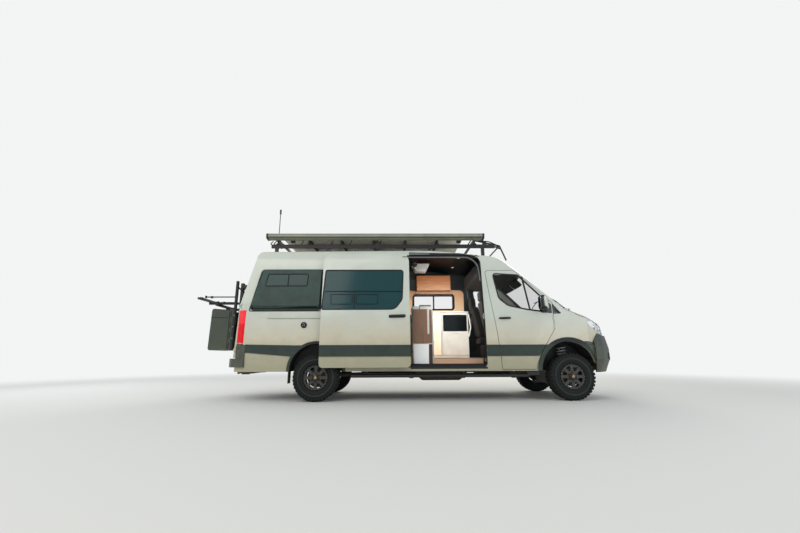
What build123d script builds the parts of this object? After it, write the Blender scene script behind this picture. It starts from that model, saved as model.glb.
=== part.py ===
"""Camper van: a long high-roof van on off-road tyres, with a rack, an awning and a rear carrier.

Every size is in millimetres. While the van is drawn, X = 0 is the front axle, +X is forward,
+Y is the left side and Z = 0 is the ground. save() then moves each piece so that the origin is
in the middle of the whole length, on the ground.
"""
from build123d import *
import os
from math import atan2, cos, hypot, sin, tan

os.makedirs("parts", exist_ok=True)

# Overall
WHEELBASE = 4325
FRONT_OVERHANG = 1004
REAR_REACH = 6560          # front axle to the tip of the rear carrier's last tray
MIDDLE_X = (FRONT_OVERHANG - REAR_REACH) / 2
HALF_WIDTH = 1000
FIT = 0.3                  # running or glazing clearance
PANEL_GAP = 8              # gap round a door that moves
WALL = 55                  # a whole door or wall, skin to lining
SILL_Z = 485
FLOOR_BOTTOM_Z = 640
FLOOR_TOP_Z = 700

# Wheels
TYRE_RADIUS = 387
TYRE_WIDTH = 245
RIM_RADIUS = 212
TRACK = 1736
STEER_AXIS_Y = 800
FRONT_ARCH_RADIUS = 480
REAR_ARCH_RADIUS = 455
FRONT_ARCH_X = -25
ARCH_Z = 492
FLARE_WIDTH = 68
TRIM_PROUD = 14

# Side view of the body: x and z on the centreline, x and z at the side, corner radius
BODY_PROFILE = [
    (900, 400, 470, 400, 40),
    (950, 950, 545, 950, 200),
    (900, 1270, 500, 1240, 110),
    (600, 1480, 270, 1400, 600),
    (270, 1595, -70, 1520, 80),
    (-930, 2600, -1170, 2465, 650),
    (-2300, 2745, -2300, 2580, 3500),
    (-5640, 2715, -5420, 2560, 130),
    (-5850, 1600, -5690, 1600, 900),
    (-5895, 400, -5745, 400, 20),
]
LOFT_HALF_WIDTH = 1010

# Section across the body: y, z, corner radius, right half from the bottom up
BODY_SECTION = [
    (952, 340, 20),
    (HALF_WIDTH, 800, 2000),
    (HALF_WIDTH, 1250, 3500),
    (908, 2400, 600),
    (812, 2632, 110),
    (560, 2790, 110),
]

# The straight run of the leaning upper side
SIDE_LOW, SIDE_HIGH = BODY_SECTION[2], BODY_SECTION[3]
LEAN = atan2(SIDE_LOW[0] - SIDE_HIGH[0], SIDE_HIGH[1] - SIDE_LOW[1])

# Plan of the body: x, y, corner radius, left half from the rear forward
BODY_PLAN = [
    (-6100, 780, 10),
    (-5745, 900, 160),
    (-5600, 1015, 160),
    (-1000, 1015, 3000),
    (330, 975, 200),
    (620, 860, 200),
    (1200, 560, 10),
]


def shifted(points, inset):
    """Moves each side of a closed polygon inwards and returns its new corners and radii."""
    corners = [(p[0], p[1]) for p in points]
    count = len(corners)
    area = sum(corners[i - 1][0] * corners[i][1] - corners[i][0] * corners[i - 1][1] for i in range(count))
    turn = 1 if area > 0 else -1
    moved = []
    for i in range(count):
        (ax, ay), (bx, by), (cx, cy) = corners[i - 1], corners[i], corners[(i + 1) % count]
        in_len, out_len = hypot(bx - ax, by - ay), hypot(cx - bx, cy - by)
        ux, uy = (bx - ax) / in_len, (by - ay) / in_len
        vx, vy = (cx - bx) / out_len, (cy - by) / out_len
        cross = ux * vy - uy * vx
        step = turn * inset / (1 + ux * vx + uy * vy)
        radius = points[i][2] - inset * (1 if cross * turn > 0 else -1)
        moved.append((bx + step * (-uy - vy), by + step * (ux + vx), max(radius, 2)))
    return moved


def outline(points, inset=0):
    """A flat closed face from rows of (u, v, radius)."""
    rows = shifted(points, inset) if inset else points
    path = FilletPolyline(*[(p[0], p[1]) for p in rows], radius=[p[2] for p in rows], close=True)
    return make_face(path)


def rows(points, radius):
    """Gives every corner of a list the same radius."""
    return [(u, v, radius) for u, v in points]


def side_prism(points, y_low, y_high, inset=0):
    """An outline in X and Z, extruded from one Y to another."""
    plane = Plane(origin=(0, y_high, 0), x_dir=(1, 0, 0), z_dir=(0, -1, 0))
    return extrude(plane * outline(points, inset), amount=y_high - y_low)


def front_prism(points, x_low, x_high, inset=0):
    """An outline in Y and Z, extruded from one X to another."""
    plane = Plane(origin=(x_low, 0, 0), x_dir=(0, 1, 0), z_dir=(1, 0, 0))
    return extrude(plane * outline(points, inset), amount=x_high - x_low)


def plan_prism(points, z_low, z_high, inset=0):
    """An outline in X and Y, extruded from one Z to another."""
    return extrude(Plane.XY.offset(z_low) * outline(points, inset), amount=z_high - z_low)


def block(x_low, x_high, y_low, y_high, z_low, z_high):
    """A box between two corners."""
    size = (x_high - x_low, y_high - y_low, z_high - z_low)
    middle = ((x_high + x_low) / 2, (y_high + y_low) / 2, (z_high + z_low) / 2)
    return Pos(*middle) * Box(*size)


def rod(start, end, radius):
    """A round bar between two points."""
    line = Vector(*end) - Vector(*start)
    plane = Plane(origin=start, z_dir=line)
    return plane * Cylinder(radius, line.length, align=(Align.CENTER, Align.CENTER, Align.MIN))


def bar_y(x, z, y_low, y_high, radius):
    """A round bar along Y."""
    return rod((x, y_low, z), (x, y_high, z), radius)


def both_halves(points):
    """Closes a half outline with its mirror image about the first column's zero."""
    return points + [(-p[0], *p[1:]) for p in reversed(points) if p[0] != 0]


def mirrored(shape):
    """The same shape on the other side of the van."""
    return mirror(shape, about=Plane.XZ)


def pair(shape):
    """A shape with its mirror image."""
    return [shape, mirrored(shape)]


def joined(shapes):
    """Fuses a list of shapes in one step."""
    solids = [solid for shape in shapes for solid in shape.solids()]
    return solids[0].fuse(*solids[1:])


def save(name, *shapes):
    """Writes one piece, moved so that the middle of the van's length is the origin."""
    solids = []
    for shape in shapes:
        solids.extend(shape.solids())
    moved = [Pos(-MIDDLE_X, 0, 0) * solid for solid in solids]
    result = moved[0] if len(moved) == 1 else Compound(children=moved)
    export_step(result, f"parts/{name}.step")
    return result


def body_form(inset):
    """The van's outer form, or the same form pulled in by a distance."""
    middle = [(row[0], row[1], row[4]) for row in BODY_PROFILE]
    edge = [(row[2], row[3], row[4]) for row in BODY_PROFILE]
    half = LOFT_HALF_WIDTH
    sections = []
    for y, points in ((-half, edge), (0, middle), (half, edge)):
        plane = Plane(origin=(0, y, 0), x_dir=(1, 0, 0), z_dir=(0, -1, 0))
        sections.append(plane * outline(points, inset))
    side = loft(sections)
    across = front_prism(both_halves(BODY_SECTION), -6200, 1300, inset)
    plan = BODY_PLAN + [(p[0], -p[1], p[2]) for p in reversed(BODY_PLAN)]
    above = plan_prism(plan, 350, 2900, inset)
    return side & across & above



# Openings and panels, each an outline of x, z (or y, z) and a corner radius
FRONT_DOOR = [
    (-1180, 505, 25), (-1200, 760, 600), (-1238, 1130, 1500), (-1306, 1610, 1500), (-1384, 2240, 60),
    (-850, 2240, 60), (-230, 1640, 20), (-230, 1180, 160), (-412, 905, 200), (-492, 790, 300),
    (-572, 600, 300), (-584, 505, 20),
]
FRONT_WINDOW = [
    (-1245, 2180, 60), (-790, 2150, 70), (-262, 1600, 12), (-262, 1462, 12), (-690, 1520, 500),
    (-1010, 1590, 160), (-1165, 1720, 120),
]
SAIL_WINDOW = [(-214, 1548, 6), (-214, 1462, 8), (-112, 1452, 6)]
SIDE_OPENING = [(-2964, 545, 70), (-2964, 2540, 150), (-1440, 2540, 160), (-1425, 545, 70)]
SLIDER_WINDOW = [(-2918, 2226, 40), (-1540, 2226, 60), (-1560, 1690, 160), (-1690, 1512, 160), (-2960, 1512, 40)]
SLIDE_BACK = 1302
SLIDE_OUT = 100
SLIDER_INNER_Y = 770       # how far in the sliding door reaches at its top
GALLEY_WINDOW = [(-2574, 1760, 40), (-2574, 2062, 40), (-1690, 2062, 40), (-1690, 1760, 40)]
POD_BASE = [(-5545, 1495, 60), (-5375, 2258, 70), (-4283, 2258, 40), (-4295, 1495, 40)]
POD_FACE = [(-5480, 1585, 60), (-5345, 2230, 60), (-4300, 2230, 30), (-4312, 1585, 30)]
POD_PROUD = 67
POD_SUNK = 18
POD_WALL = 22
POD_WINDOW = [(-5290, 1935, 25), (-5250, 2165, 25), (-4520, 2165, 25), (-4520, 1935, 25)]
REAR_OPENING = [(926, 712, 30), (936, 1300, 1200), (850, 2350, 300), (790, 2528, 80)]
REAR_WINDOW = [(-810, 1500, 50), (-140, 1500, 50), (-140, 2200, 50), (-760, 2200, 50)]
WINDSCREEN = [(800, 1610, 60), (690, 2330, 160), (560, 2500, 100), (0, 2520, 3000)]
ROOF_ZONE = [(-6200, 2560), (-1415, 2560), (-1415, 2290), (1300, 2290), (1300, 3000), (-6200, 3000)]
NOSE_ZONE = [(-600, 400), (-600, 600), (-520, 800), (-440, 905), (-262, 1190), (-262, 1425), (-60, 1530), (-60, 1608),
    (1300, 1608), (1300, 400)]
BONNET_SIDE = [(0, 1750), (0, 1530), (170, 1432), (460, 1335), (760, 1262), (1100, 1225), (1100, 1750)]
BONNET_HALF_WIDTH = 800
COWL_X = 325
COWL_RADIUS = 1500
GRILLE = [(560, 1215, 30), (520, 985, 40)]
HEADLAMP = [(385, 1292, 15), (480, 1305, 60), (880, 1262, 30), (870, 1150, 30), (610, 1085, 30), (505, 1150, 80)]
HEADLAMP_Y = 560
TAIL_LAMP_X = -5570
TAIL_LAMP_Y = 945
TAIL_LAMP_Z = (960, 1520)

# Depths of the body's layers below its surface
GLASS_DEPTH = 5
GLASS_THICK = 6

# Places of the hinges
REAR_BOTTOM_Z = 713
BUMPER_TOP_Z = 952
BUMPER_REAR_X = 440
FRONT_HINGE_X = -234
FRONT_HINGE_Y = 997
FRONT_HINGE_Z = (1235, 1360)
REAR_HINGE_X = -5700
REAR_HINGE_Y = 950
REAR_HINGE_Z = (850, 1590)
BONNET_HINGE_X = 98
BONNET_HINGE_Z = 1561
BONNET_HINGE_Y = 735
PIN_RADIUS = 5
BARREL_RADIUS = 9
BARREL_LENGTH = 100
LEAF_SWEEP = 24            # how far from its pin a rear leaf still passes over the side

# Floor and firewall
SHEET = 8
FLOOR_HALF_WIDTH = 926
FIREWALL_X = -300
FIREWALL_HALF_WIDTH = 915
FIREWALL_TOP_Z = 1395
STEP_X = (-2950, -1445)
STEP_EDGE_Y = 905
STEP_RISER_Y = 745
STEP_Z = 500
# Wheel houses: x, radius, inner y, outer y
WHEEL_HOUSES = ((FRONT_ARCH_X, FRONT_ARCH_RADIUS, 508, 868), (-WHEELBASE, REAR_ARCH_RADIUS, 690, 905))
ARM_DOOR_X = 120           # hole in the inner wheel house for the upper arm

# Frame, axles and suspension
RAIL_X = (-5700, 420)
RAIL_Y = (400, 470)
RAIL_Z = 480
CROSSMEMBER_X = (-5500, -3500, -2500, -1900)
SUBFRAME_Z = 360
ARM_ROOT_Y = 480
LOWER_ARM_Z = 252
UPPER_ARM_Z = 512
DAMPER_Y = 600
SPRING_HALF = 620
SPRING_Y = (560, 625)
SPRING_Z = 500
BRAKE_Y = 800
SPINDLE_END_Y = 930
SPINDLE_RADIUS = 30
HITCH_OUTER = 63.5
HITCH_INNER = 51
HITCH_Z = 455
HITCH_PIN_X = -5950
HITCH_PIN_RADIUS = 8

# Wheel face
SPOKES = 8
SPOKE_Y = 84
SPOKE_THICK = 26

# Bumpers and rails: plan rows are x, y, radius
BUMPER_PLAN = [(200, -985, 5), (560, -985, 200), (862, -640, 300), (1004, -150, 700)]
BUMPER_LOW_Z = 455
BUMPER_FORM_Z = 1090
BUMPER_WALL = 40
BUMPER_WAIST_Z = (670, 850)
BUMPER_LOW_TAPER = 22
BUMPER_HIGH_TAPER = 12
BUMPER_WING = [(200, 940, 5), (400, 940, 30), (512, 1074, 60), (1300, 1074, 5), (1300, 600, 5), (200, 600, 5)]
BUMPER_WING_Y = 575
LOWER_MOUTH = [(430, 800, 40), (400, 610, 40)]
REAR_BUMPER_PLAN = [(-5963, -300, 500), (-5862, -800, 180), (-5752, -985, 70), (-5540, -1008, 8), (-5540, 1008, 8),
    (-5752, 985, 70), (-5862, 800, 180), (-5963, 300, 500)]
REAR_BUMPER_Z = (560, 704)
RAIL_SIDE = [(-5528, 800), (-5528, 935), (-4700, 918), (440, 918), (440, 730), (-4700, 730)]

# Side steps: y, z, radius
STEP_SECTION = [(-1040, 385, 18), (-1040, 430, 18), (-880, 440, 6), (-880, 400, 10)]
STEP_BAR_X = (-3720, -760)
STEP_BRACKETS = (-3500, -2600, -1800, -1000)
STEP_BRACKET_Y = 915
STEP_TOP_Z = 440

# Roof rack, panels and awning
RACK_X = (-5300, -1120)
RACK_Y = 750
RACK_Z = (2705, 2772)
RACK_FEET = (-5200, -4250, -3300, -2350, -1350)
CROSSBAR_X = (-5180, -4600, -4000, -3400, -2800, -2200, -1500)
CROSSBAR_Z = 2838
FAIRING_X = (-1480, -1010, -900)
ANTENNA_X = -5180
ANTENNA_TOP_Z = 3470
AWNING_X = (-5350, -1350)
AWNING_Y = (795, 925)
AWNING_SECTION = [(-925, 2850, 45), (-925, 2940, 15), (-795, 2940, 8), (-795, 2835, 12)]
SOLAR_X = ((-5080, -3420), (-3380, -1720))
SOLAR_HALF_WIDTH = 700

# Cab: outlines of x, z and radius
DASH_FRONT_X = FIREWALL_X - SHEET - FIT
DASH = [(DASH_FRONT_X, 1100, 20), (-520, 1060, 60), (-680, 1240, 60), (-640, 1425, 60), (-300, 1460, 30), (-130, 1462, 20),
    (-130, 1405, 5), (DASH_FRONT_X, 1405, 5)]
DASH_HALF_WIDTH = 878
DRIVER_Y = 430
SEAT_Y = 440
SEAT_X = -1060
SEAT_BASE_Z = 960
SEAT_TOP_Z = 1105
SEAT_BACK_Z = 1740
SEAT_CUSHION = [(-1300, SEAT_BASE_Z + FIT, 60), (-790, SEAT_BASE_Z + FIT, 70), (-780, SEAT_TOP_Z, 50), (-1260, SEAT_TOP_Z, 20)]
SEAT_BACK = [(-1265, SEAT_TOP_Z + FIT, 30), (-1140, SEAT_TOP_Z + FIT, 30), (-1270, SEAT_BACK_Z, 50), (-1400, SEAT_BACK_Z, 50)]
HEADREST = [(-1400, SEAT_BACK_Z + FIT, 25), (-1290, SEAT_BACK_Z + FIT, 25), (-1310, 1930, 50), (-1410, 1930, 50)]

# Load space
GALLEY_X = (-2200, -1460)
GALLEY_Y = (440, 900)
GALLEY_TOP_Z = 1630
OVEN_X = (-1960, -1500)
OVEN_Z = (1240, 1580)
GALLEY_END = [(-800, 580), (-800, 945), (-760, 945), (-760, 1605), (-260, 1605), (-260, FLOOR_TOP_Z + FIT),
    (-STEP_RISER_Y - 2, FLOOR_TOP_Z + FIT), (-STEP_RISER_Y - 2, 580)]
WALL_PANEL = [(-2690, 1640, 5), (-2690, 2187, 5), (-1452, 2187, 110), (-1452, 1640, 5)]
OVERHEAD_FRONT_Y = 600
PANEL_THICK = 15

# Mirror, sliding door gear and rear carrier
MIRROR = [(-500, 1490, 35), (-345, 1500, 45), (-375, 1755, 45), (-490, 1760, 35)]
MIRROR_Y = (1035, 1172)
MIRROR_ARM = [(-950, 1385, 5), (-1010, 1385, 20), (-1090, 1480, 20), (-1090, 1530, 5), (-1042, 1530, 5), (-1030, 1470, 20),
    (-950, 1452, 5)]
SLIDER_RAIL_Z = 1380
MAST_X = -5925
TRAYS = ((-6200, 1640), (-6535, 1760))
TRAY_Y = (-760, -20)
BOX = [(-5975.3, 860, 40), (-5975.3, 1560, 40), (-6290, 1584, 40), (-6300, 845, 40)]
BOX_Y = (-720, -60)

FORMS = {depth: body_form(depth) for depth in (0, WALL, GLASS_DEPTH, GLASS_DEPTH + GLASS_THICK, -TRIM_PROUD, -FIT)}
SHELL = (FORMS[0] - FORMS[WALL]) & block(-6200, 1300, -1100, 1100, SILL_Z, 3000)
PANE = FORMS[GLASS_DEPTH] - FORMS[GLASS_DEPTH + GLASS_THICK]
TRIM = FORMS[-TRIM_PROUD] - FORMS[-FIT]
STRAP = FORMS[-TRIM_PROUD] - FORMS[0]
RIGHT = block(-6300, 1300, -1300, 0, 0, 3000)


def both_sides(shape):
    """A shape fused with its mirror image."""
    return shape + mirrored(shape)


def wheel_disc(x, radius, y_low, y_high, z=ARCH_Z):
    """A disc across the right side at a wheel, between two distances from the middle."""
    return rod((x, -y_high, z), (x, -y_low, z), radius)


def hinge(place, axis, fixed_leaf, moving_leaf):
    """One hinge: knuckles with a pin, and the moving barrel between them, each with its leaf."""
    axis = Vector(*axis)
    middle = Vector(*place)
    quarter = BARREL_LENGTH / 4
    half = BARREL_LENGTH / 2

    def along(low, high, radius):
        return rod(tuple(middle + axis * low), tuple(middle + axis * high), radius)

    room = along(-quarter, quarter, BARREL_RADIUS + 2)
    fixed = (fixed_leaf - room) + along(-half, -quarter, BARREL_RADIUS) + along(quarter, half, BARREL_RADIUS)
    fixed = fixed + along(-half, half, PIN_RADIUS)
    barrel = along(-quarter + FIT, quarter - FIT, BARREL_RADIUS)
    ends = along(-half - 1, -quarter + FIT, BARREL_RADIUS + 2) + along(quarter - FIT, half + 1, BARREL_RADIUS + 2)
    moving = (moving_leaf - ends) + barrel - along(-half, half, PIN_RADIUS + FIT / 4)
    return fixed, moving


# The body's panels
front_cut = both_sides(side_prism(FRONT_DOOR, -1200, -700))
slider_cut = side_prism(SIDE_OPENING, -1200, -600)
rear_cut = front_prism(both_halves(REAR_OPENING), -6400, -5340)
windscreen_cut = front_prism(both_halves(WINDSCREEN), -1300, 400)
bonnet_zone = side_prism(rows(BONNET_SIDE, 5), -BONNET_HALF_WIDTH, BONNET_HALF_WIDTH)
cowl_cut = Pos(COWL_X - COWL_RADIUS, 0, 1400) * Cylinder(COWL_RADIUS, 1000)
bonnet_cut = bonnet_zone - cowl_cut
pod_hole = both_sides(side_prism(POD_BASE, -1200, -700, 40))
sail_cut = both_sides(side_prism(SAIL_WINDOW, -1200, -700))
galley_cut = side_prism(GALLEY_WINDOW, 700, 1200)
tail_lamp_zone = block(-6200, TAIL_LAMP_X, -1100, -TAIL_LAMP_Y, *TAIL_LAMP_Z)
head_lamp_zone = side_prism(HEADLAMP, -1100, -HEADLAMP_Y) - bonnet_zone
grille_cut = front_prism(both_halves(GRILLE), 500, 1300)
arch_cuts = wheel_disc(FRONT_ARCH_X, FRONT_ARCH_RADIUS, 600, 1100) + wheel_disc(-WHEELBASE, REAR_ARCH_RADIUS, 600, 1100)

shell = SHELL - front_cut - slider_cut - rear_cut - windscreen_cut - bonnet_cut
shell = shell - both_sides(arch_cuts) - pod_hole - sail_cut - galley_cut
shell = shell - both_sides(tail_lamp_zone) - both_sides(head_lamp_zone) - grille_cut
shell = shell - block(-6200, -5600, -925, 925, 400, REAR_BOTTOM_Z) - block(BUMPER_REAR_X, 1300, -1100, 1100, 400, BUMPER_TOP_Z)
shell = shell - both_sides(side_prism(BUMPER_WING, -1100, -BUMPER_WING_Y, -3) & block(BUMPER_REAR_X, 1300, -1100, 1100, 400, 1200))
roof_zone = side_prism(rows(ROOF_ZONE, 1), -1100, 1100)
nose_zone = side_prism(rows(NOSE_ZONE, 1), -1100, 1100)
roof = shell & roof_zone
nose = (shell - roof_zone) & nose_zone
sides = shell - roof_zone - nose_zone
side_right = sides & RIGHT
side_left = sides - RIGHT

# Glass
windscreen = PANE & front_prism(both_halves(WINDSCREEN), -1300, 400, FIT)
front_glass = PANE & side_prism(FRONT_WINDOW, -1200, -700, FIT)
sail = both_sides(PANE & side_prism(SAIL_WINDOW, -1200, -700, FIT))
galley_glass = PANE & side_prism(GALLEY_WINDOW, 700, 1200, FIT)
rear_glass = PANE & front_prism(REAR_WINDOW, -6300, -5300, FIT)
slider_glass = PANE & side_prism(SLIDER_WINDOW, -1200, -700, FIT)

# Doors
front_door = (SHELL & side_prism(FRONT_DOOR, -1200, -700, PANEL_GAP)) - side_prism(FRONT_WINDOW, -1200, -700)
rear_zone = front_prism(both_halves(REAR_OPENING), -6400, -5340, PANEL_GAP) & block(-6300, -5300, -1100, -5, 0, 3000)
rear_door = (SHELL & rear_zone) - front_prism(REAR_WINDOW, -6300, -5300)
slide = Pos(-SLIDE_BACK, -SLIDE_OUT, 0)
slider = slide * ((SHELL & side_prism(SIDE_OPENING, -1200, -SLIDER_INNER_Y, 4)) - side_prism(SLIDER_WINDOW, -1200, -700))
slider_glass = slide * slider_glass
cowl_room = Pos(COWL_X - COWL_RADIUS, 0, 1400) * Cylinder(COWL_RADIUS + PANEL_GAP, 1000)
bonnet = (SHELL & side_prism(rows(BONNET_SIDE, 5), -BONNET_HALF_WIDTH, BONNET_HALF_WIDTH, PANEL_GAP)) - cowl_room


# Floor, wheel houses and firewall
floor_half = FLOOR_HALF_WIDTH
floor = plan_prism([(-5640, -850, 5), (-5540, -floor_half, 5), (FIREWALL_X, -floor_half, 5), (FIREWALL_X, floor_half, 5),
    (-5540, floor_half, 5), (-5640, 850, 5)], FLOOR_BOTTOM_Z, FLOOR_TOP_Z)
step_well = block(STEP_X[0], STEP_X[1], -1000, -STEP_RISER_Y, FLOOR_BOTTOM_Z - 1, FLOOR_TOP_Z + 1)
step_tray = block(STEP_X[0], STEP_X[1], -STEP_EDGE_Y, -STEP_RISER_Y + SHEET, STEP_Z, STEP_Z + SHEET)
step_riser = block(STEP_X[0], STEP_X[1], -STEP_RISER_Y, -STEP_RISER_Y + SHEET, STEP_Z, FLOOR_BOTTOM_Z)
firewall = block(FIREWALL_X - SHEET, FIREWALL_X, -FIREWALL_HALF_WIDTH, FIREWALL_HALF_WIDTH, FLOOR_TOP_Z + FIT, FIREWALL_TOP_Z)
floor = floor - step_well + step_tray + step_riser
wheel_tubs = []
for x, radius, inner_y, tub_y in WHEEL_HOUSES:
    outer = wheel_disc(x, radius + SHEET, inner_y - SHEET, tub_y) & block(-6300, 400, -1100, 1100, SILL_Z, 3000)
    wheel_tubs.append(outer - wheel_disc(x, radius, inner_y, 1000))
    around = both_sides(wheel_disc(x, radius + SHEET + FIT, inner_y - SHEET - FIT, 1000))
    floor = floor - around
    firewall = firewall - around
wheel_tubs[0] = wheel_tubs[0] - block(-ARM_DOOR_X, ARM_DOOR_X, -525, -485, 470, 575)

# Frame, axles and what carries the wheels
gear = []
for side in (-1, 1):
    gear.append(block(RAIL_X[0], RAIL_X[1], *sorted((side * RAIL_Y[0], side * RAIL_Y[1])), RAIL_Z, FLOOR_BOTTOM_Z))
for x in CROSSMEMBER_X:
    gear.append(block(x - 35, x + 35, -RAIL_Y[0], RAIL_Y[0], RAIL_Z + 30, FLOOR_BOTTOM_Z - 40))
front_gear = [block(-150, 150, -ARM_ROOT_Y, ARM_ROOT_Y, SUBFRAME_Z, RAIL_Z)]
front_gear.append(block(-110, 110, -ARM_ROOT_Y, ARM_ROOT_Y, LOWER_ARM_Z - 25, SUBFRAME_Z))
for side in (-1, 1):
    for z, x_half, length_y in ((LOWER_ARM_Z, 150, 40), (UPPER_ARM_Z, 90, 30)):
        arm = plan_prism([(-x_half, side * (ARM_ROOT_Y - 10), 5), (x_half, side * (ARM_ROOT_Y - 10), 5),
            (28, side * (STEER_AXIS_Y + 28), 24), (-28, side * (STEER_AXIS_Y + 28), 24)], z - 14, z + 14)
        front_gear.append(arm)
    front_gear.append(block(-100, 100, *sorted((side * RAIL_Y[1], side * ARM_ROOT_Y)), RAIL_Z - 5, UPPER_ARM_Z + 40))
    front_gear.append(rod((0, side * DAMPER_Y, LOWER_ARM_Z), (0, side * DAMPER_Y, 950), 22))
    front_gear.append(rod((0, side * DAMPER_Y, 540), (0, side * DAMPER_Y, 800), 48))
rear_gear = [bar_y(-WHEELBASE, TYRE_RADIUS, -BRAKE_Y, BRAKE_Y, 48)]
rear_gear.append(Pos(-WHEELBASE, 0, TYRE_RADIUS) * Rot(90, 0, 0) * Cylinder(140, 170))
rear_gear.append(rod((-WHEELBASE + 60, 0, TYRE_RADIUS), (-1000, 0, 480), 36))
rear_gear.append(block(-1450, -850, -170, 170, 400, 560))
rear_gear.append(block(-1250, -1150, -RAIL_Y[0] + FIT, RAIL_Y[0] - FIT, 470, 540))
for side in (-1, 1):
    for reach in (-1, 1):
        x = -WHEELBASE + reach * SPRING_HALF
        rear_gear.append(block(x - 30, x + 30, *sorted((side * SPRING_Y[0], side * SPRING_Y[1])), SPRING_Z, FLOOR_BOTTOM_Z))
    leaf = side_prism([(-WHEELBASE - SPRING_HALF - 30, SPRING_Z + 36, 5), (-WHEELBASE, SPRING_Z - 60, 900),
        (-WHEELBASE + SPRING_HALF + 30, SPRING_Z + 36, 5), (-WHEELBASE + SPRING_HALF + 30, SPRING_Z + 66, 5),
        (-WHEELBASE, SPRING_Z - 24, 900), (-WHEELBASE - SPRING_HALF - 30, SPRING_Z + 66, 5)],
        *sorted((side * SPRING_Y[0], side * SPRING_Y[1])))
    rear_gear.append(leaf)
    rear_gear.append(block(-WHEELBASE - 70, -WHEELBASE + 70, *sorted((side * SPRING_Y[0], side * SPRING_Y[1])), TYRE_RADIUS, SPRING_Z))
    rear_gear.append(bar_y(-WHEELBASE, TYRE_RADIUS, *sorted((side * BRAKE_Y, side * SPINDLE_END_Y)), SPINDLE_RADIUS))
    rear_gear.append(bar_y(-WHEELBASE, TYRE_RADIUS, *sorted((side * (BRAKE_Y - 24), side * BRAKE_Y)), 150))
receiver = block(-6010, -5700, -HITCH_OUTER / 2, HITCH_OUTER / 2, HITCH_Z - HITCH_OUTER / 2, HITCH_Z + HITCH_OUTER / 2)
receiver = receiver - block(-6020, -5760, -HITCH_INNER / 2, HITCH_INNER / 2, HITCH_Z - HITCH_INNER / 2, HITCH_Z + HITCH_INNER / 2)
receiver = receiver - bar_y(HITCH_PIN_X, HITCH_Z, -200, 200, HITCH_PIN_RADIUS)
hitch_bar = block(-5760, -5700, -RAIL_Y[1], RAIL_Y[1], HITCH_Z - 30, HITCH_Z + 30)
hitch_legs = both_sides(block(-5760, -5640, -RAIL_Y[1], -RAIL_Y[0], HITCH_Z - 30, RAIL_Z + 60))
rail_room = both_sides(block(RAIL_X[0], RAIL_X[1], -RAIL_Y[1] - FIT, -RAIL_Y[0] + FIT, RAIL_Z - FIT, FLOOR_BOTTOM_Z))
front_axle = joined(front_gear) - rail_room
rear_axle = joined(rear_gear)
chassis = joined(gear + [hitch_bar, hitch_legs, receiver]) - bar_y(HITCH_PIN_X, HITCH_Z, -200, 200, HITCH_PIN_RADIUS)
engine = block(-240, 470, -280, 280, RAIL_Z, 1200)

# Front knuckle: a post on the steering axis, the brake disc and the spindle
knuckle = rod((0, -STEER_AXIS_Y, LOWER_ARM_Z + 14 + FIT), (0, -STEER_AXIS_Y, UPPER_ARM_Z - 14 - FIT), 26)
knuckle = knuckle + bar_y(0, TYRE_RADIUS, -BRAKE_Y - 24, -STEER_AXIS_Y, 60)
knuckle = knuckle + bar_y(0, TYRE_RADIUS, -BRAKE_Y - 24, -BRAKE_Y, 104)
knuckle = knuckle + bar_y(0, TYRE_RADIUS, -SPINDLE_END_Y, -STEER_AXIS_Y, SPINDLE_RADIUS)

# Wheel, drawn about the Y axis with its outer face at -Y
half_tyre = [
    (RIM_RADIUS, 98, 5), (226, 113, 10), (300, TYRE_WIDTH / 2, 60), (371, 111, 20), (TYRE_RADIUS, 86, 16),
]
tyre_points = [(r, -y, c) for r, y, c in half_tyre] + [(r, y, c) for r, y, c in reversed(half_tyre)]
tyre = revolve(outline(tyre_points), Axis.Y)
rim_points = [
    (RIM_RADIUS - FIT, -104, 3), (RIM_RADIUS - FIT, 104, 3), (RIM_RADIUS - 16, 104, 3), (182, 60, 20),
    (182, -40, 20), (RIM_RADIUS - 16, -104, 3),
]
rim = revolve(outline(rim_points), Axis.Y)
face = Pos(0, -SPOKE_Y, 0) * Rot(90, 0, 0) * Cylinder(190, SPOKE_THICK)
spoke_window = side_prism([(96, -15, 8), (174, -45, 16), (174, 45, 16), (96, 15, 8)], -200, 0)
for turn in range(SPOKES):
    face = face - Rot(0, 360 / SPOKES * (turn + 0.5), 0) * spoke_window
hub = Pos(0, -55, 0) * Rot(90, 0, 0) * Cylinder(82, 90)
cap = Pos(0, -102, 0) * Rot(90, 0, 0) * Cylinder(58, 30)
rim = rim + face + hub + cap
rim = rim - Pos(0, 40, 0) * Rot(90, 0, 0) * Cylinder(SPINDLE_RADIUS + FIT, 240)


def placed_wheel(shape, x):
    """The right-hand wheel's shape at an axle."""
    return Pos(x, -TRACK / 2, TYRE_RADIUS) * shape


# Bumpers, grille, lamps and dark trim
LAYER = FORMS[GLASS_DEPTH] - FORMS[WALL]


def bumper_form(inset):
    """The front bumper's outer form: straight at its waist and drawn in above and below it."""
    plan = BUMPER_PLAN + [(x, -y, r) for x, y, r in reversed(BUMPER_PLAN)]
    low, high = BUMPER_WAIST_Z
    waist = plan_prism(plan, low, high, inset)
    upper = extrude(Plane.XY.offset(high) * outline(plan, inset), amount=BUMPER_FORM_Z - high, taper=BUMPER_HIGH_TAPER)
    lower = extrude(Plane.XY.offset(low) * outline(plan, inset), amount=low - BUMPER_LOW_Z, dir=(0, 0, -1),
        taper=BUMPER_LOW_TAPER)
    return waist + upper + lower


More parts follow.
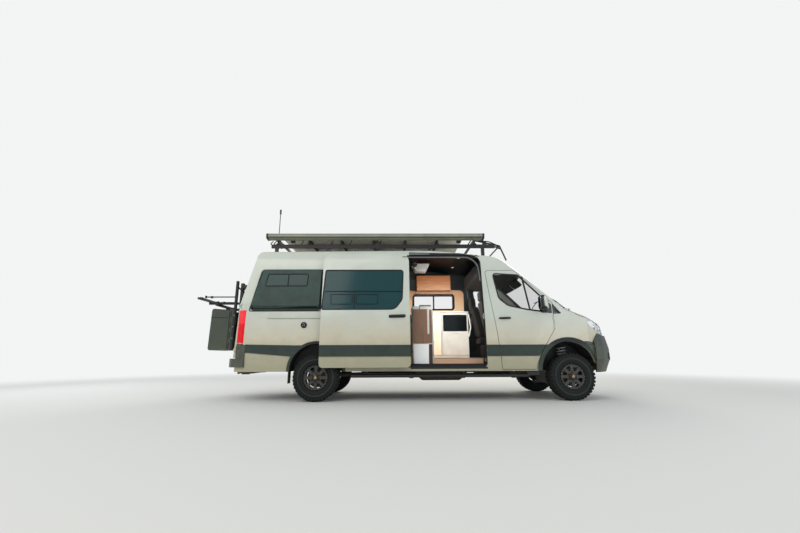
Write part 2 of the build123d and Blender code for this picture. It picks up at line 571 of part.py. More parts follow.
bumper_wings = both_sides(side_prism(BUMPER_WING, -1100, -BUMPER_WING_Y) & block(BUMPER_REAR_X, 1300, -1100, 1100, 400, 1200))
bumper_zone = block(BUMPER_REAR_X, 1300, -1100, 1100, 400, BUMPER_TOP_Z) + bumper_wings
front_bumper = (bumper_form(0) - bumper_form(BUMPER_WALL)) & (bumper_zone & block(BUMPER_REAR_X + FIT, 1300, -1100, 1100, 0, 2000))
front_bumper = front_bumper - both_sides(wheel_disc(FRONT_ARCH_X, FRONT_ARCH_RADIUS, 600, 1100))
lower_mouth = front_prism(both_halves(LOWER_MOUTH), 500, 1300)
front_bumper = front_bumper - lower_mouth


def slats(zone, outer_form, z_low, z_high, pitch, thick):
    """A frame with level bars, cut from a layer of a form."""
    bars = block(0, 1300, -900, 900, z_low, z_low + thick)
    z = z_low + pitch
    while z < z_high:
        bars = bars + block(0, 1300, -900, 900, z, z + thick)
        z += pitch
    return outer_form & (zone & bars)


grille_hole = front_prism(both_halves(GRILLE), 500, 1300, FIT)
grille_frame = grille_hole - front_prism(both_halves(GRILLE), 500, 1300, 24)
grille = (LAYER & grille_frame) + slats(grille_hole, LAYER, 1010, 1200, 44, 16)
head_lamps = both_sides(LAYER & (side_prism(HEADLAMP, -1100, -HEADLAMP_Y - FIT, FIT) - bonnet_zone))
lens_zone = block(-6200, TAIL_LAMP_X - FIT, -1100, -TAIL_LAMP_Y - FIT, TAIL_LAMP_Z[0] + FIT, TAIL_LAMP_Z[1] - FIT)
tail_lamps = both_sides(LAYER & lens_zone)

rear_bumper = plan_prism(REAR_BUMPER_PLAN, REAR_BUMPER_Z[0], REAR_BUMPER_Z[1]) - block(-5700, 0, -928, 928, 0, 1000)
corner = TRIM & (block(-6300, -5530, -1100, -945, REAR_BUMPER_Z[0], 930) - block(-6300, -5600, -1100, -900, REAR_BUMPER_Z[1] - 1, 1000))
rear_bumper = rear_bumper - both_sides(FORMS[-FIT] & block(-6300, 0, -1100, -925, 400, 1000))
rear_bumper = rear_bumper + both_sides(corner)

door_zone = both_sides(side_prism(FRONT_DOOR, -1200, -700))
slider_zone = side_prism(SIDE_OPENING, -1200, -600)
rail_zone = side_prism(rows(RAIL_SIDE, 2), -1200, -800)
flares = wheel_disc(FRONT_ARCH_X, FRONT_ARCH_RADIUS + FLARE_WIDTH, 800, 1100)
flares = flares - wheel_disc(FRONT_ARCH_X, FRONT_ARCH_RADIUS, 700, 1200)
rear_flare = wheel_disc(-WHEELBASE, REAR_ARCH_RADIUS + 40, 800, 1100) - wheel_disc(-WHEELBASE, REAR_ARCH_RADIUS, 700, 1200)
dark_zone = (flares + rear_flare + rail_zone) & block(-6300, BUMPER_REAR_X, -1200, -800, SILL_Z, 2000)
dark_zone = dark_zone - wheel_disc(FRONT_ARCH_X, FRONT_ARCH_RADIUS, 700, 1200) - wheel_disc(-WHEELBASE, REAR_ARCH_RADIUS, 700, 1200)
dark_right = TRIM & (dark_zone - door_zone - slider_zone)
dark_left = TRIM & (mirrored(dark_zone) - door_zone)
slider_trim = slide * (TRIM & (rail_zone & side_prism(SIDE_OPENING, -1200, -600, 4)))
door_rail = TRIM & (rail_zone & side_prism(FRONT_DOOR, -1200, -700, PANEL_GAP))
flaps = both_sides(block(-4812, -4800, -895, -750, 290, FLOOR_BOTTOM_Z))

# Windows set into the rear quarters
def tilted(points, out, inset=0):
    """An outline on a plane parallel to the leaning upper side, at a distance outside the skin."""
    plane = Plane(origin=(0, -SIDE_LOW[0], SIDE_LOW[1]), x_dir=(1, 0, 0), z_dir=(0, -cos(LEAN), sin(LEAN))).offset(out)
    flat = [(x, (z - SIDE_LOW[1]) / cos(LEAN), r) for x, z, r in points]
    return plane * outline(flat, inset)


pod = loft([tilted(POD_BASE, -POD_SUNK), tilted(POD_FACE, POD_PROUD)], ruled=True)
pod_room = loft([tilted(POD_BASE, -POD_SUNK - 5, POD_WALL), tilted(POD_FACE, POD_PROUD - POD_WALL, 6)], ruled=True)
pod = (pod - pod_room) - FORMS[-FIT]
pod = pod - extrude(tilted(POD_WINDOW, POD_PROUD + 20), amount=-80)
pod_glass = extrude(tilted(POD_WINDOW, POD_PROUD - 4, FIT), amount=-GLASS_THICK)

# Side steps
step_bar = front_prism(STEP_SECTION, STEP_BAR_X[0], STEP_BAR_X[1])
for x in STEP_BRACKETS:
    step_bar = step_bar + block(x - 25, x + 25, -STEP_BRACKET_Y, -RAIL_Y[0], RAIL_Z - 25, RAIL_Z)
    step_bar = step_bar + block(x - 25, x + 25, -STEP_BRACKET_Y, -STEP_BRACKET_Y + 30, STEP_TOP_Z - 10, RAIL_Z)

# Roof rack, panels and awning
rack = []
for side in (-1, 1):
    y_low, y_high = sorted((side * (RACK_Y - 20), side * (RACK_Y + 20)))
    rack.append(block(RACK_X[0], RACK_X[1], y_low, y_high, RACK_Z[0], RACK_Z[1]))
    for x in RACK_FEET:
        rack.append(block(x - 30, x + 30, y_low, y_high, 2560, RACK_Z[0]) - FORMS[-FIT])
    for x in CROSSBAR_X:
        rack.append(block(x - 15, x + 15, y_low + 5, y_high - 5, RACK_Z[1], CROSSBAR_Z))
    upper, lower = (FAIRING_X[0], side * RACK_Y, CROSSBAR_Z), (FAIRING_X[1], side * (RACK_Y - 60), 2765)
    foot = (FAIRING_X[2], side * (RACK_Y - 60), 2480)
    rail_end = (RACK_X[1] - 20, side * RACK_Y, RACK_Z[1] - 30)
    rack.append(rod((CROSSBAR_X[-1], side * RACK_Y, CROSSBAR_Z + 15), lower, 14))
    rack.append(rod(lower, foot, 14) - FORMS[-FIT])
    rack.append(Pos(*lower) * Sphere(14))
    rack.append(rod(rail_end, (FAIRING_X[1] + 25, side * (RACK_Y - 60), 2700), 14))
rack.append(bar_y(FAIRING_X[1], 2765, -RACK_Y + 60, RACK_Y - 60, 14))
for x in CROSSBAR_X:
    rack.append(block(x - 20, x + 20, -AWNING_Y[0], AWNING_Y[0], CROSSBAR_Z, CROSSBAR_Z + 35))
rack.append(rod((ANTENNA_X, -RACK_Y, CROSSBAR_Z), (ANTENNA_X, -RACK_Y, 3400), 7))
rack.append(rod((ANTENNA_X, -RACK_Y, 3380), (ANTENNA_X, -RACK_Y, ANTENNA_TOP_Z), 16))
rack.append(block(ANTENNA_X - 40, ANTENNA_X + 40, -RACK_Y - 15, -RACK_Y + 15, CROSSBAR_Z, CROSSBAR_Z + 30))
roof_rack = joined(rack)
solar = []
for x_low, x_high in SOLAR_X:
    solar.append(block(x_low, x_high, -SOLAR_HALF_WIDTH, SOLAR_HALF_WIDTH, CROSSBAR_Z + 35, CROSSBAR_Z + 70))
awning = front_prism(AWNING_SECTION, AWNING_X[0], AWNING_X[1])

# Cab: dashboard, steering wheel and seats
dash = side_prism(DASH, -DASH_HALF_WIDTH, DASH_HALF_WIDTH)
wheel_plane = Plane(origin=(-800, DRIVER_Y, 1340), z_dir=(-0.85, 0, 0.53))
steering = (wheel_plane * Torus(195, 16)) + (wheel_plane * Cylinder(60, 30)) + (wheel_plane * Box(380, 40, 20))
column = rod((-795, DRIVER_Y, 1337), (-560, DRIVER_Y, 1190), 30)
seats = []
for side in (-1, 1):
    y_mid = side * SEAT_Y
    y_low, y_high = y_mid - 250, y_mid + 250
    seats.append(block(SEAT_X - 190, SEAT_X + 190, y_mid - 200, y_mid + 200, FLOOR_TOP_Z, SEAT_BASE_Z))
    seats.append(side_prism(SEAT_CUSHION, y_low, y_high))
    seats.append(side_prism(SEAT_BACK, y_low, y_high))
    seats.append(side_prism(HEADREST, y_mid - 140, y_mid + 140))

def lining_y(z):
    """Half the width between the side linings at a height on the straight run of the side."""
    return SIDE_LOW[0] - (z - SIDE_LOW[1]) * tan(LEAN) - WALL / cos(LEAN) - FIT


# Load space: galley, cupboards and bed
galley = block(*GALLEY_X, GALLEY_Y[0], GALLEY_Y[1], FLOOR_TOP_Z, GALLEY_TOP_Z)
oven = block(*OVEN_X, GALLEY_Y[0] - 12, GALLEY_Y[0] + 300, *OVEN_Z)
galley = galley - oven
galley_end = front_prism(rows(GALLEY_END, 1.5), -2680, -2335)
overhead = front_prism([(OVERHEAD_FRONT_Y, 2140, 5), (lining_y(2140) - PANEL_THICK - FIT, 2140, 5),
    (lining_y(2300) - PANEL_THICK - FIT, 2300, 5), (830, 2390, 5), (795, 2465, 5), (OVERHEAD_FRONT_Y, 2465, 5)], -2520, -1780)
wall_panel = mirrored(extrude(tilted(WALL_PANEL, -WALL - FIT), amount=-PANEL_THICK)) - side_prism(GALLEY_WINDOW, 700, 1200)
bed = block(-5560, -3050, -840, 840, 1290, 1330) + block(-3080, -3050, -840, 840, FLOOR_TOP_Z, 1290)
bed = bed + block(-5560, -5530, -840, 840, FLOOR_TOP_Z, 1290)
mattress = plan_prism([(-5550, -830, 60), (-3060, -830, 60), (-3060, 830, 60), (-5550, 830, 60)], 1330, 1450)

# Hinges
def hinges(x, y, heights, fixed_blank, moving_blank):
    """Hinges with an upright pin at several heights, each leaf a slice of its blank."""
    fixed_parts, moving_parts = [], []
    quarter = BARREL_LENGTH / 4
    for z in heights:
        outer = block(-9000, 2000, -1500, 0, z - 2 * quarter, z + 2 * quarter)
        inner = block(-9000, 2000, -1500, 0, z - quarter - 3, z + quarter + 3)
        middle = block(-9000, 2000, -1500, 0, z - quarter + 3, z + quarter - 3)
        fixed, moving = hinge((x, y, z), (0, 0, 1), fixed_blank & (outer - inner), moving_blank & middle)
        fixed_parts.append(fixed)
        moving_parts.append(moving)
    return fixed_parts, moving_parts


front_fixed, front_moving = hinges(
    FRONT_HINGE_X, -FRONT_HINGE_Y, FRONT_HINGE_Z,
    block(FRONT_HINGE_X + 2, FRONT_HINGE_X + 16, -FRONT_HINGE_Y - 4, -FRONT_HINGE_Y + 40, 1000, 1600),
    block(FRONT_HINGE_X - 16, FRONT_HINGE_X - 2, -FRONT_HINGE_Y - 4, -FRONT_HINGE_Y + 40, 1000, 1600))
rear_fixed, rear_moving = hinges(
    REAR_HINGE_X, -REAR_HINGE_Y, REAR_HINGE_Z,
    STRAP & block(-6000, -5660, -1100, -REAR_HINGE_Y, 500, 2000),
    STRAP & block(-6000, -5400, -REAR_HINGE_Y + 1, -840, 500, 2000))
bonnet_fixed, bonnet_moving = hinge(
    (BONNET_HINGE_X, -BONNET_HINGE_Y, BONNET_HINGE_Z), (0, 1, 0),
    block(BONNET_HINGE_X - 9, BONNET_HINGE_X + 9, -BONNET_HINGE_Y - 50, -BONNET_HINGE_Y + 50, 1500, BONNET_HINGE_Z - 3),
    block(BONNET_HINGE_X, BONNET_HINGE_X + 84, -BONNET_HINGE_Y - 22, -BONNET_HINGE_Y + 22, BONNET_HINGE_Z - 4,
        BONNET_HINGE_Z + 4)
    + block(BONNET_HINGE_X + 62, BONNET_HINGE_X + 84, -BONNET_HINGE_Y - 22, -BONNET_HINGE_Y + 22, 1495, BONNET_HINGE_Z))


def notch(x, y, heights):
    """The room that upright hinges take out of a panel's edge."""
    return [rod((x, y, z - BARREL_LENGTH / 2 - 2), (x, y, z + BARREL_LENGTH / 2 + 2), BARREL_RADIUS + 2) for z in heights]


def pocket(x, y, heights):
    """The shallow pockets in the side that the moving leaves swing through."""
    half = BARREL_LENGTH / 4 + 5
    return [rod((x, y, z - half), (x, y, z + half), LEAF_SWEEP) for z in heights]


for room in notch(FRONT_HINGE_X, -FRONT_HINGE_Y, FRONT_HINGE_Z):
    nose = nose - both_sides(room)
    front_door = front_door - room
for room in notch(REAR_HINGE_X, -REAR_HINGE_Y, REAR_HINGE_Z):
    side_right = side_right - room
    side_left = side_left - mirrored(room)
    rear_door = rear_door - room
for room in pocket(REAR_HINGE_X, -REAR_HINGE_Y, REAR_HINGE_Z):
    side_right = side_right - room
    side_left = side_left - mirrored(room)
bonnet_room = rod((BONNET_HINGE_X, -BONNET_HINGE_Y - 25, BONNET_HINGE_Z), (BONNET_HINGE_X, -BONNET_HINGE_Y + 25,
    BONNET_HINGE_Z), BARREL_RADIUS + 2)
nose = nose - both_sides(bonnet_room)

for piece in front_fixed:
    nose = nose + both_sides(piece)
for piece in front_moving:
    front_door = front_door + piece
for piece in rear_fixed:
    side_right = side_right + piece
    side_left = side_left + mirrored(piece)
for piece in rear_moving:
    rear_door = rear_door + piece
nose = nose + both_sides(bonnet_fixed)
bonnet = bonnet + both_sides(bonnet_moving)

# Mirrors and handles on the front doors
mirror_shell = extrude(Plane(origin=(0, -MIRROR_Y[0], 0), x_dir=(1, 0, 0), z_dir=(0, -1, 0)) * outline(MIRROR),
    amount=MIRROR_Y[1] - MIRROR_Y[0])
mirror_arm = front_prism(MIRROR_ARM, -440, -350) - FORMS[-FIT]
handle = block(-1085, -905, -1040, -1022, 1300, 1335)
for x in (-1070, -935):
    handle = handle + (block(x - 14, x + 14, -1040, -960, 1302, 1333) - FORMS[-FIT])
door_trim = [door_rail, mirror_shell + mirror_arm, handle]

# Sliding door: its centre rail on the body and the arms that carry it
slider_rail = block(-5200, -2990, -1012, -900, SLIDER_RAIL_Z, SLIDER_RAIL_Z + 40) - FORMS[-FIT]
slider_arms = block(-4180, -4100, -1055, -1012 - FIT, SLIDER_RAIL_Z + 5, SLIDER_RAIL_Z + 35)
slider_foot = block(-2860, -2780, -1050, -850, 556, 580) + block(-2860, -2780, -890, -850, STEP_Z + SHEET + FIT, 560)
slider_head = block(-2860, -2780, -1000, -800, 2478, 2500)

# Rear carrier and storage box, both on the right rear door
mast_x = MAST_X
carrier = block(mast_x - 50, mast_x, -340, -260, 820, 2120)
for z in (900, 2040):
    carrier = carrier + (block(mast_x - 5, -5500, -420, -180, z - 30, z + 30) - FORMS[-FIT])
for x_end, z in TRAYS:
    carrier = carrier + block(x_end - 25, mast_x, -325, -275, z - 50, z - 10)
    carrier = carrier + block(x_end - 25, x_end + 25, TRAY_Y[0], TRAY_Y[1], z - 10, z + 14)
box = side_prism(BOX, *BOX_Y)

# Names of the nodes and what each holds
NODES = {
    "roof_panel": [roof],
    "front_body": [nose],
    "body_side_right": [side_right],
    "body_side_left": [side_left],
    "floor_pan": [floor, firewall] + [piece for tub in wheel_tubs for piece in pair(tub)],
    "running_gear": [chassis, front_axle, rear_axle],
    "engine_block": [engine],
    "windscreen": [windscreen],
    "side_glass": [sail, galley_glass, slider_glass] + pair(pod_glass),
    "sliding_door": [slider + slider_arms + slider_foot + slider_head],
    "slider_rail": [slider_rail],
    "window_pods": pair(pod),
    "cladding": [dark_right, dark_left, slider_trim, flaps],
    "front_bumper": [front_bumper],
    "grille": [grille],
    "headlamps": [head_lamps],
    "tail_lamps": [tail_lamps],
    "rear_bumper": [rear_bumper],
    "side_steps": pair(step_bar),
    "roof_rack": [roof_rack],
    "solar_panels": solar,
    "awning": [awning],
    "dashboard": [dash, column + steering],
    "front_seats": seats,
    "galley": [galley, galley_end],
    "oven": [oven],
    "cupboards": [overhead, wall_panel],
    "bed": [bed],
    "mattress": [mattress],
    "bonnet": [bonnet],
    "rear_carrier": [carrier],
    "storage_box": [box],
}
SIDES = {"right": lambda shape: shape, "left": mirrored}
for side, turned in SIDES.items():
    NODES[f"front_door_{side}"] = [turned(front_door)]
    NODES[f"front_glass_{side}"] = [turned(front_glass)]
    NODES[f"door_trim_{side}"] = [turned(piece) for piece in door_trim]
    NODES[f"rear_door_{side}"] = [turned(rear_door)]
    NODES[f"rear_glass_{side}"] = [turned(rear_glass)]
    NODES[f"knuckle_{side}"] = [turned(knuckle)]
    for end, x in (("front", 0), ("rear", -WHEELBASE)):
        NODES[f"tyre_{end}_{side}"] = [turned(placed_wheel(tyre, x))]
        NODES[f"rim_{end}_{side}"] = [turned(placed_wheel(rim, x))]

for name, shapes in NODES.items():
    save(name, *shapes)
print(len(NODES), "pieces")
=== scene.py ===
"""Looks of the camper van: finishes, fittings and a plain studio, laid out as a Blender add-on."""
import math

import bmesh
import bpy
from mathutils import Matrix, Vector
from mathutils.bvhtree import BVHTree
from mathutils.geometry import delaunay_2d_cdt


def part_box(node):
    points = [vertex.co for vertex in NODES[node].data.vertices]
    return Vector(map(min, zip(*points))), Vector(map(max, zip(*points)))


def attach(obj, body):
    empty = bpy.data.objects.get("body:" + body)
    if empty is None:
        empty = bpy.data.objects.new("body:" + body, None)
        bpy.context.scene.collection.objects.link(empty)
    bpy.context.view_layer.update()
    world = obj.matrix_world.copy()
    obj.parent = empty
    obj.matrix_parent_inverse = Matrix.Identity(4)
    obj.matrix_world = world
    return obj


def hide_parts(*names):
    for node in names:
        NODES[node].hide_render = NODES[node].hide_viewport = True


bl_info = {
    "name": "Camper van looks",
    "version": (1, 0, 0),
    "blender": (4, 5, 0),
    "location": "View3D > Sidebar > Camper van",
    "description": "Dresses the camper van's frame with finishes and fittings",
    "category": "Object",
}

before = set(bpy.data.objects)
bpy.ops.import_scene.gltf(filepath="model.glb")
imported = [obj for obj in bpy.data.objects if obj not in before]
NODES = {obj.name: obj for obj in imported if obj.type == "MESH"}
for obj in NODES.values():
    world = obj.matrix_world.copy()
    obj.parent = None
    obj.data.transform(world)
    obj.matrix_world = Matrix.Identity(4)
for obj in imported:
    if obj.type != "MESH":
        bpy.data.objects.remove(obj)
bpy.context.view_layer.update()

# Places in the frame, in metres
AXLE_X = 2.778             # front axle; the rest of the van is placed from it
REAR_AXLE_X = AXLE_X - 4.325
WHEEL_Y = 0.868
WHEEL_Z = 0.387
SLIDE = Vector((-1.302, -0.1, 0.0))    # how far the open side door lies from its closed place
# Straight sides: height or place from the front axle, half the width there and its growth per metre
LOWER_SIDE = (0.34, 0.952, 0.1043)
UPPER_SIDE = (1.25, 1.0, -0.08)
FRONT_TAPER = (-1.0, 1.015, -0.03008)
LOWER_SIDE_TOP = 0.8
SIDES = (("right", -1), ("left", 1))
WHEELS = [(end, side, x, s) for end, x in (("front", AXLE_X), ("rear", REAR_AXLE_X)) for side, s in SIDES]
PRISM_AXES = {"x": (1, 2, 0), "y": (0, 2, 1), "z": (0, 1, 2)}


def linear(text):
    """An sRGB hex colour as linear red, green, blue and alpha; a colour setting is linear already."""
    if not isinstance(text, str):
        return list(text)
    parts = [int(text[i:i + 2], 16) / 255 for i in (1, 3, 5)]
    return [c / 12.92 if c <= 0.04045 else ((c + 0.055) / 1.055) ** 2.4 for c in parts] + [1.0]


def add(tree, kind, values=None, links=None, **settings):
    """Adds a node with its settings, its inputs' values and its links."""
    new = tree.nodes.new(kind)
    for key, value in settings.items():
        setattr(new, key, value)
    for key, value in (values or {}).items():
        new.inputs[key].default_value = value
    for key, source in (links or {}).items():
        tree.links.new(source, new.inputs[key])
    return new


def from_axle(x):
    """A place along the van, measured forward from the front axle, in the frame."""
    return x + AXLE_X


def side_y(x, z):
    """Half the body's width at a place on its straight sides."""
    section = UPPER_SIDE[1]
    if z < LOWER_SIDE_TOP:
        section = LOWER_SIDE[1] + (z - LOWER_SIDE[0]) * LOWER_SIDE[2]
    elif z > UPPER_SIDE[0]:
        section = UPPER_SIDE[1] + (z - UPPER_SIDE[0]) * UPPER_SIDE[2]
    along = x - AXLE_X - FRONT_TAPER[0]
    return min(section, FRONT_TAPER[1] + max(along, 0.0) * FRONT_TAPER[2])


# Shapes

def rectangle(x0, z0, x1, z1):
    """The corners of a rectangle from its limits."""
    return [(x0, z0), (x1, z0), (x1, z1), (x0, z1)]


def points_at(points):
    """Points given from the front axle, in the frame."""
    return [(from_axle(x), y, z) for x, y, z in points]


def rounded(corners, radius, steps=5):
    """A closed 2-D outline with its corners rounded; radius is one number or one for each corner."""
    result = []
    count = len(corners)
    for i, corner in enumerate(corners):
        here = Vector(corner)
        r = radius[i] if isinstance(radius, (list, tuple)) else radius
        before = Vector(corners[i - 1]) - here
        after = Vector(corners[(i + 1) % count]) - here
        half = before.angle(after) / 2
        run = min(r / math.tan(half), before.length * 0.49, after.length * 0.49)
        if r <= 0 or abs(half - math.pi / 2) < 0.01:
            result.append(tuple(here))
            continue
        start = here + before.normalized() * run
        end = here + after.normalized() * run
        for k in range(steps + 1):
            t = k / steps
            result.append(tuple((1 - t) ** 2 * start + 2 * t * (1 - t) * here + t * t * end))
    return result


def grown(outline, distance):
    """A closed 2-D outline moved outwards by a distance."""
    count = len(outline)
    area = sum(outline[i - 1][0] * outline[i][1] - outline[i][0] * outline[i - 1][1] for i in range(count))
    turn = 1 if area > 0 else -1
    result = []
    for i in range(count):
        a, b, c = Vector(outline[i - 1]), Vector(outline[i]), Vector(outline[(i + 1) % count])
        u = (b - a).normalized()
        v = (c - b).normalized()
        out = Vector((u.y + v.y, -(u.x + v.x)))
        out = out / max(1 + u.dot(v), 0.4) * turn * distance
        result.append(tuple(b + out))
    return result


def inside(outline, u, v):
    """Whether a point lies inside a closed 2-D outline."""
    result = False
    for i in range(len(outline)):
        (a, b), (c, d) = outline[i - 1], outline[i]
        if (b > v) != (d > v) and u < (c - a) * (v - b) / (d - b) + a:
            result = not result
    return result


class Shape:
    """The points and faces of one piece, put together from simple forms."""

    def __init__(self):
        self.points = []
        self.faces = []

    def add(self, points, faces):
        start = len(self.points)
        self.points += [tuple(p) for p in points]
        self.faces += [tuple(i + start for i in face) for face in faces]
        return self

    def loops(self, loops, caps=True):
        """Joins rings of points one after another, with a cap over the first and the last."""
        count = len(loops[0])
        points = [p for loop in loops for p in loop]
        faces = []
        for a in range(len(loops) - 1):
            for i in range(count):
                j = (i + 1) % count
                faces.append((a * count + i, a * count + j, (a + 1) * count + j, (a + 1) * count + i))
        if caps:
            faces.append(tuple(range(count)))
            faces.append(tuple(range((len(loops) - 1) * count, len(loops) * count)))
        return self.add(points, faces)

    def prism(self, outline, axis, low, high):
        """A flat outline pushed along an axis; its two numbers are the other axes in order."""
        first, second, third = PRISM_AXES[axis]
        rings = []
        for level in (low, high):
            ring = []
            for u, v in outline:
                point = [0.0, 0.0, 0.0]
                point[first], point[second], point[third] = u, v, level
                ring.append(point)
            rings.append(ring)
        return self.loops(rings)

    def box(self, low, high):
        return self.prism(rectangle(low[0], low[1], high[0], high[1]), "z", low[2], high[2])

    def lathe(self, profile, centre, axis, steps=32, closed=False):
        """A profile of radius and height turned about an axis through a centre."""
        axis = Vector(axis).normalized()
        across = axis.orthogonal().normalized()
        other = axis.cross(across)
        centre = Vector(centre)
        rings = []
        for r, h in profile:
            ring = []
            for k in range(steps):
                angle = 2 * math.pi * k / steps
                ring.append(centre + axis * h + (across * math.cos(angle) + other * math.sin(angle)) * r)
            rings.append(ring)
        if closed:
            rings.append(rings[0])
        return self.loops(rings, caps=not closed)

    def tube(self, path, radius, steps=10):
        """A round bar along a path of points."""
        path = [Vector(p) for p in path]
        rings = []
        previous = None
        for i, here in enumerate(path):
            ahead = path[min(i + 1, len(path) - 1)] - path[max(i - 1, 0)]
            ahead.normalize()
            if previous is None:
                across = ahead.orthogonal().normalized()
            else:
                across = (previous - ahead * previous.dot(ahead)).normalized()
            previous = across
            other = ahead.cross(across)
            rings.append([here + (across * math.cos(2 * math.pi * k / steps)
                + other * math.sin(2 * math.pi * k / steps)) * radius for k in range(steps)])
        return self.loops(rings)

    def band(self, outer, inner, place, front, back):
        """A closed band between two outlines of as many points, laid on a surface by place(u, v, depth)."""
        rings = []
        for outline, depth in ((outer, back), (outer, front), (inner, front), (inner, back), (outer, back)):
            rings.append([place(u, v, depth) for u, v in outline])
        return self.loops(rings, caps=False)

    def rim(self, outline, outer, inner, place, front, back):
        """A band along one outline, between two distances outwards from it."""
        return self.band(grown(outline, outer), grown(outline, inner), place, front, back)

    def sheet(self, outline, place, front, back):
        """A filled outline with a thickness, laid on a surface by place(u, v, depth)."""
        return self.loops([[place(u, v, depth) for u, v in outline] for depth in (front, back)])

    def patch(self, outline, place, front, back, cell=0.05):
        """A filled outline with a thickness that follows a curved surface, cut into small triangles."""
        us, vs = [p[0] for p in outline], [p[1] for p in outline]
        tight = grown(outline, -cell * 0.35)
        spots = [Vector(p) for p in outline]
        for i in range(1, int((max(us) - min(us)) / cell) + 1):
            for j in range(1, int((max(vs) - min(vs)) / cell) + 1):
                u, v = min(us) + i * cell, min(vs) + j * cell
                if inside(tight, u, v):
                    spots.append(Vector((u, v)))
        flat, _, faces, _, _, _ = delaunay_2d_cdt(spots, [], [list(range(len(outline)))], 1, 1e-6)
        count = len(flat)
        points = [place(p.x, p.y, front) for p in flat] + [place(p.x, p.y, back) for p in flat]
        walls = {}
        for face in faces:
            for k in range(3):
                edge = (face[k - 1], face[k])
                walls[edge] = walls.get(edge, 0) + 1
        rim = [(b, a, a + count, b + count) for a, b in walls if (b, a) not in walls]
        sides = [tuple(face) for face in faces] + [tuple(i + count for i in reversed(face))
            for face in faces]
        return self.add(points, sides + rim)

    def box_at(self, low, high):
        """A box whose corners are given from the front axle."""
        return self.box((from_axle(low[0]), *low[1:]), (from_axle(high[0]), *high[1:]))

    def mesh_piece(self, name, merged=True):
        """A new object of these points and faces, with its faces pointing outwards."""
        data = bpy.data.meshes.new(name)
        data.from_pydata(self.points, [], self.faces)
        work = bmesh.new()
        work.from_mesh(data)
        if merged:
            bmesh.ops.remove_doubles(work, verts=work.verts, dist=1e-6)
        bmesh.ops.recalc_face_normals(work, faces=work.faces)
        work.to_mesh(data)
        work.free()
        piece = bpy.data.objects.new(name, data)
        bpy.context.scene.collection.objects.link(piece)
        return piece

    def build(self, name, finish, body="root", **looks):
        """Makes the piece, gives it its finish and lets it ride on a body."""
        return dress(self.mesh_piece(name), finish, body, **looks)


def dress(piece, finish, body, replaces=(), bevel=0.0, smooth=35, subdivide=0):
    """Rounds and shades a new piece, gives it its finish and lets it ride on a body."""
    piece.data.materials.clear()
    piece.data.materials.append(FINISHES[finish])
    if bevel:
        edge = piece.modifiers.new("Edges", "BEVEL")
        edge.width = bevel
        edge.segments = 2
        edge.limit_method = "ANGLE"
        edge.angle_limit = math.radians(40)
    if subdivide:
        soft = piece.modifiers.new("Smooth", "SUBSURF")
        soft.levels = soft.render_levels = subdivide
    if smooth:
        piece.data.shade_smooth()
        piece.data.set_sharp_from_angle(angle=math.radians(smooth))
    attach(piece, body)
    if replaces:
        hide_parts(*replaces)
    return piece


def repeats_tree():
    """Copies a shape a number of times, each moved and turned one step further."""
    tree = bpy.data.node_groups.new("Repeats", "GeometryNodeTree")
    face = tree.interface
    for name, kind in (("Shape", "NodeSocketGeometry"), ("Count", "NodeSocketInt"),
            ("Centre", "NodeSocketVector"), ("Step", "NodeSocketVector"), ("Turn", "NodeSocketVector"),
            ("Finish", "NodeSocketMaterial")):
        face.new_socket(name, in_out="INPUT", socket_type=kind)
    face.new_socket("Shape", in_out="OUTPUT", socket_type="NodeSocketGeometry")
    given = add(tree, "NodeGroupInput")
    index = add(tree, "GeometryNodeInputIndex").outputs[0]
    points = add(tree, "GeometryNodePoints", links={"Count": given.outputs["Count"]})
    move = add(tree, "ShaderNodeVectorMath", links={0: given.outputs["Step"], "Scale": index},
        operation="SCALE")
    place = add(tree, "ShaderNodeVectorMath", links={0: move.outputs[0], 1: given.outputs["Centre"]})
    turn = add(tree, "ShaderNodeVectorMath", links={0: given.outputs["Turn"], "Scale": index},
        operation="SCALE")
    laid = add(tree, "GeometryNodeSetPosition", links={"Geometry": points.outputs[0],
        "Position": place.outputs[0]})
    euler = add(tree, "FunctionNodeEulerToRotation", links={0: turn.outputs[0]})
    copies = add(tree, "GeometryNodeInstanceOnPoints", links={
        "Points": laid.outputs[0], "Instance": given.outputs["Shape"], "Rotation": euler.outputs[0]})
    real = add(tree, "GeometryNodeRealizeInstances", links={0: copies.outputs[0]})
    painted = add(tree, "GeometryNodeSetMaterial", links={0: real.outputs[0],
        "Material": given.outputs["Finish"]})
    add(tree, "NodeGroupOutput", links={0: painted.outputs[0]})
    return tree


def repeated(shape, name, finish, body, count, step=(0, 0, 0), turn=(0, 0, 0), centre=(0, 0, 0), **looks):
    """One shape copied by the Repeats tree, then made a plain mesh."""
    piece = shape.mesh_piece(name, merged=False)
    rule = piece.modifiers.new("Repeats", "NODES")
    rule.node_group = bpy.data.node_groups.get("Repeats") or repeats_tree()
    given = {"Count": count, "Centre": centre, "Step": step, "Turn": turn, "Finish": FINISHES[finish]}
    for item in rule.node_group.interface.items_tree:
        if item.in_out == "INPUT" and item.name in given:
            rule[item.identifier] = given[item.name]
    graph = bpy.context.evaluated_depsgraph_get()
    plain = bpy.data.meshes.new_from_object(piece.evaluated_get(graph))
    piece.modifiers.remove(rule)
    piece.data = plain
    return dress(piece, finish, body, **looks)


# Settings

def colour_setting(name, description, text):
    """A colour that the panel shows, with its default as an sRGB hex value."""
    return bpy.props.FloatVectorProperty(name=name, description=description, subtype="COLOR", size=4,
        min=0.0, max=1.0, default=linear(text))


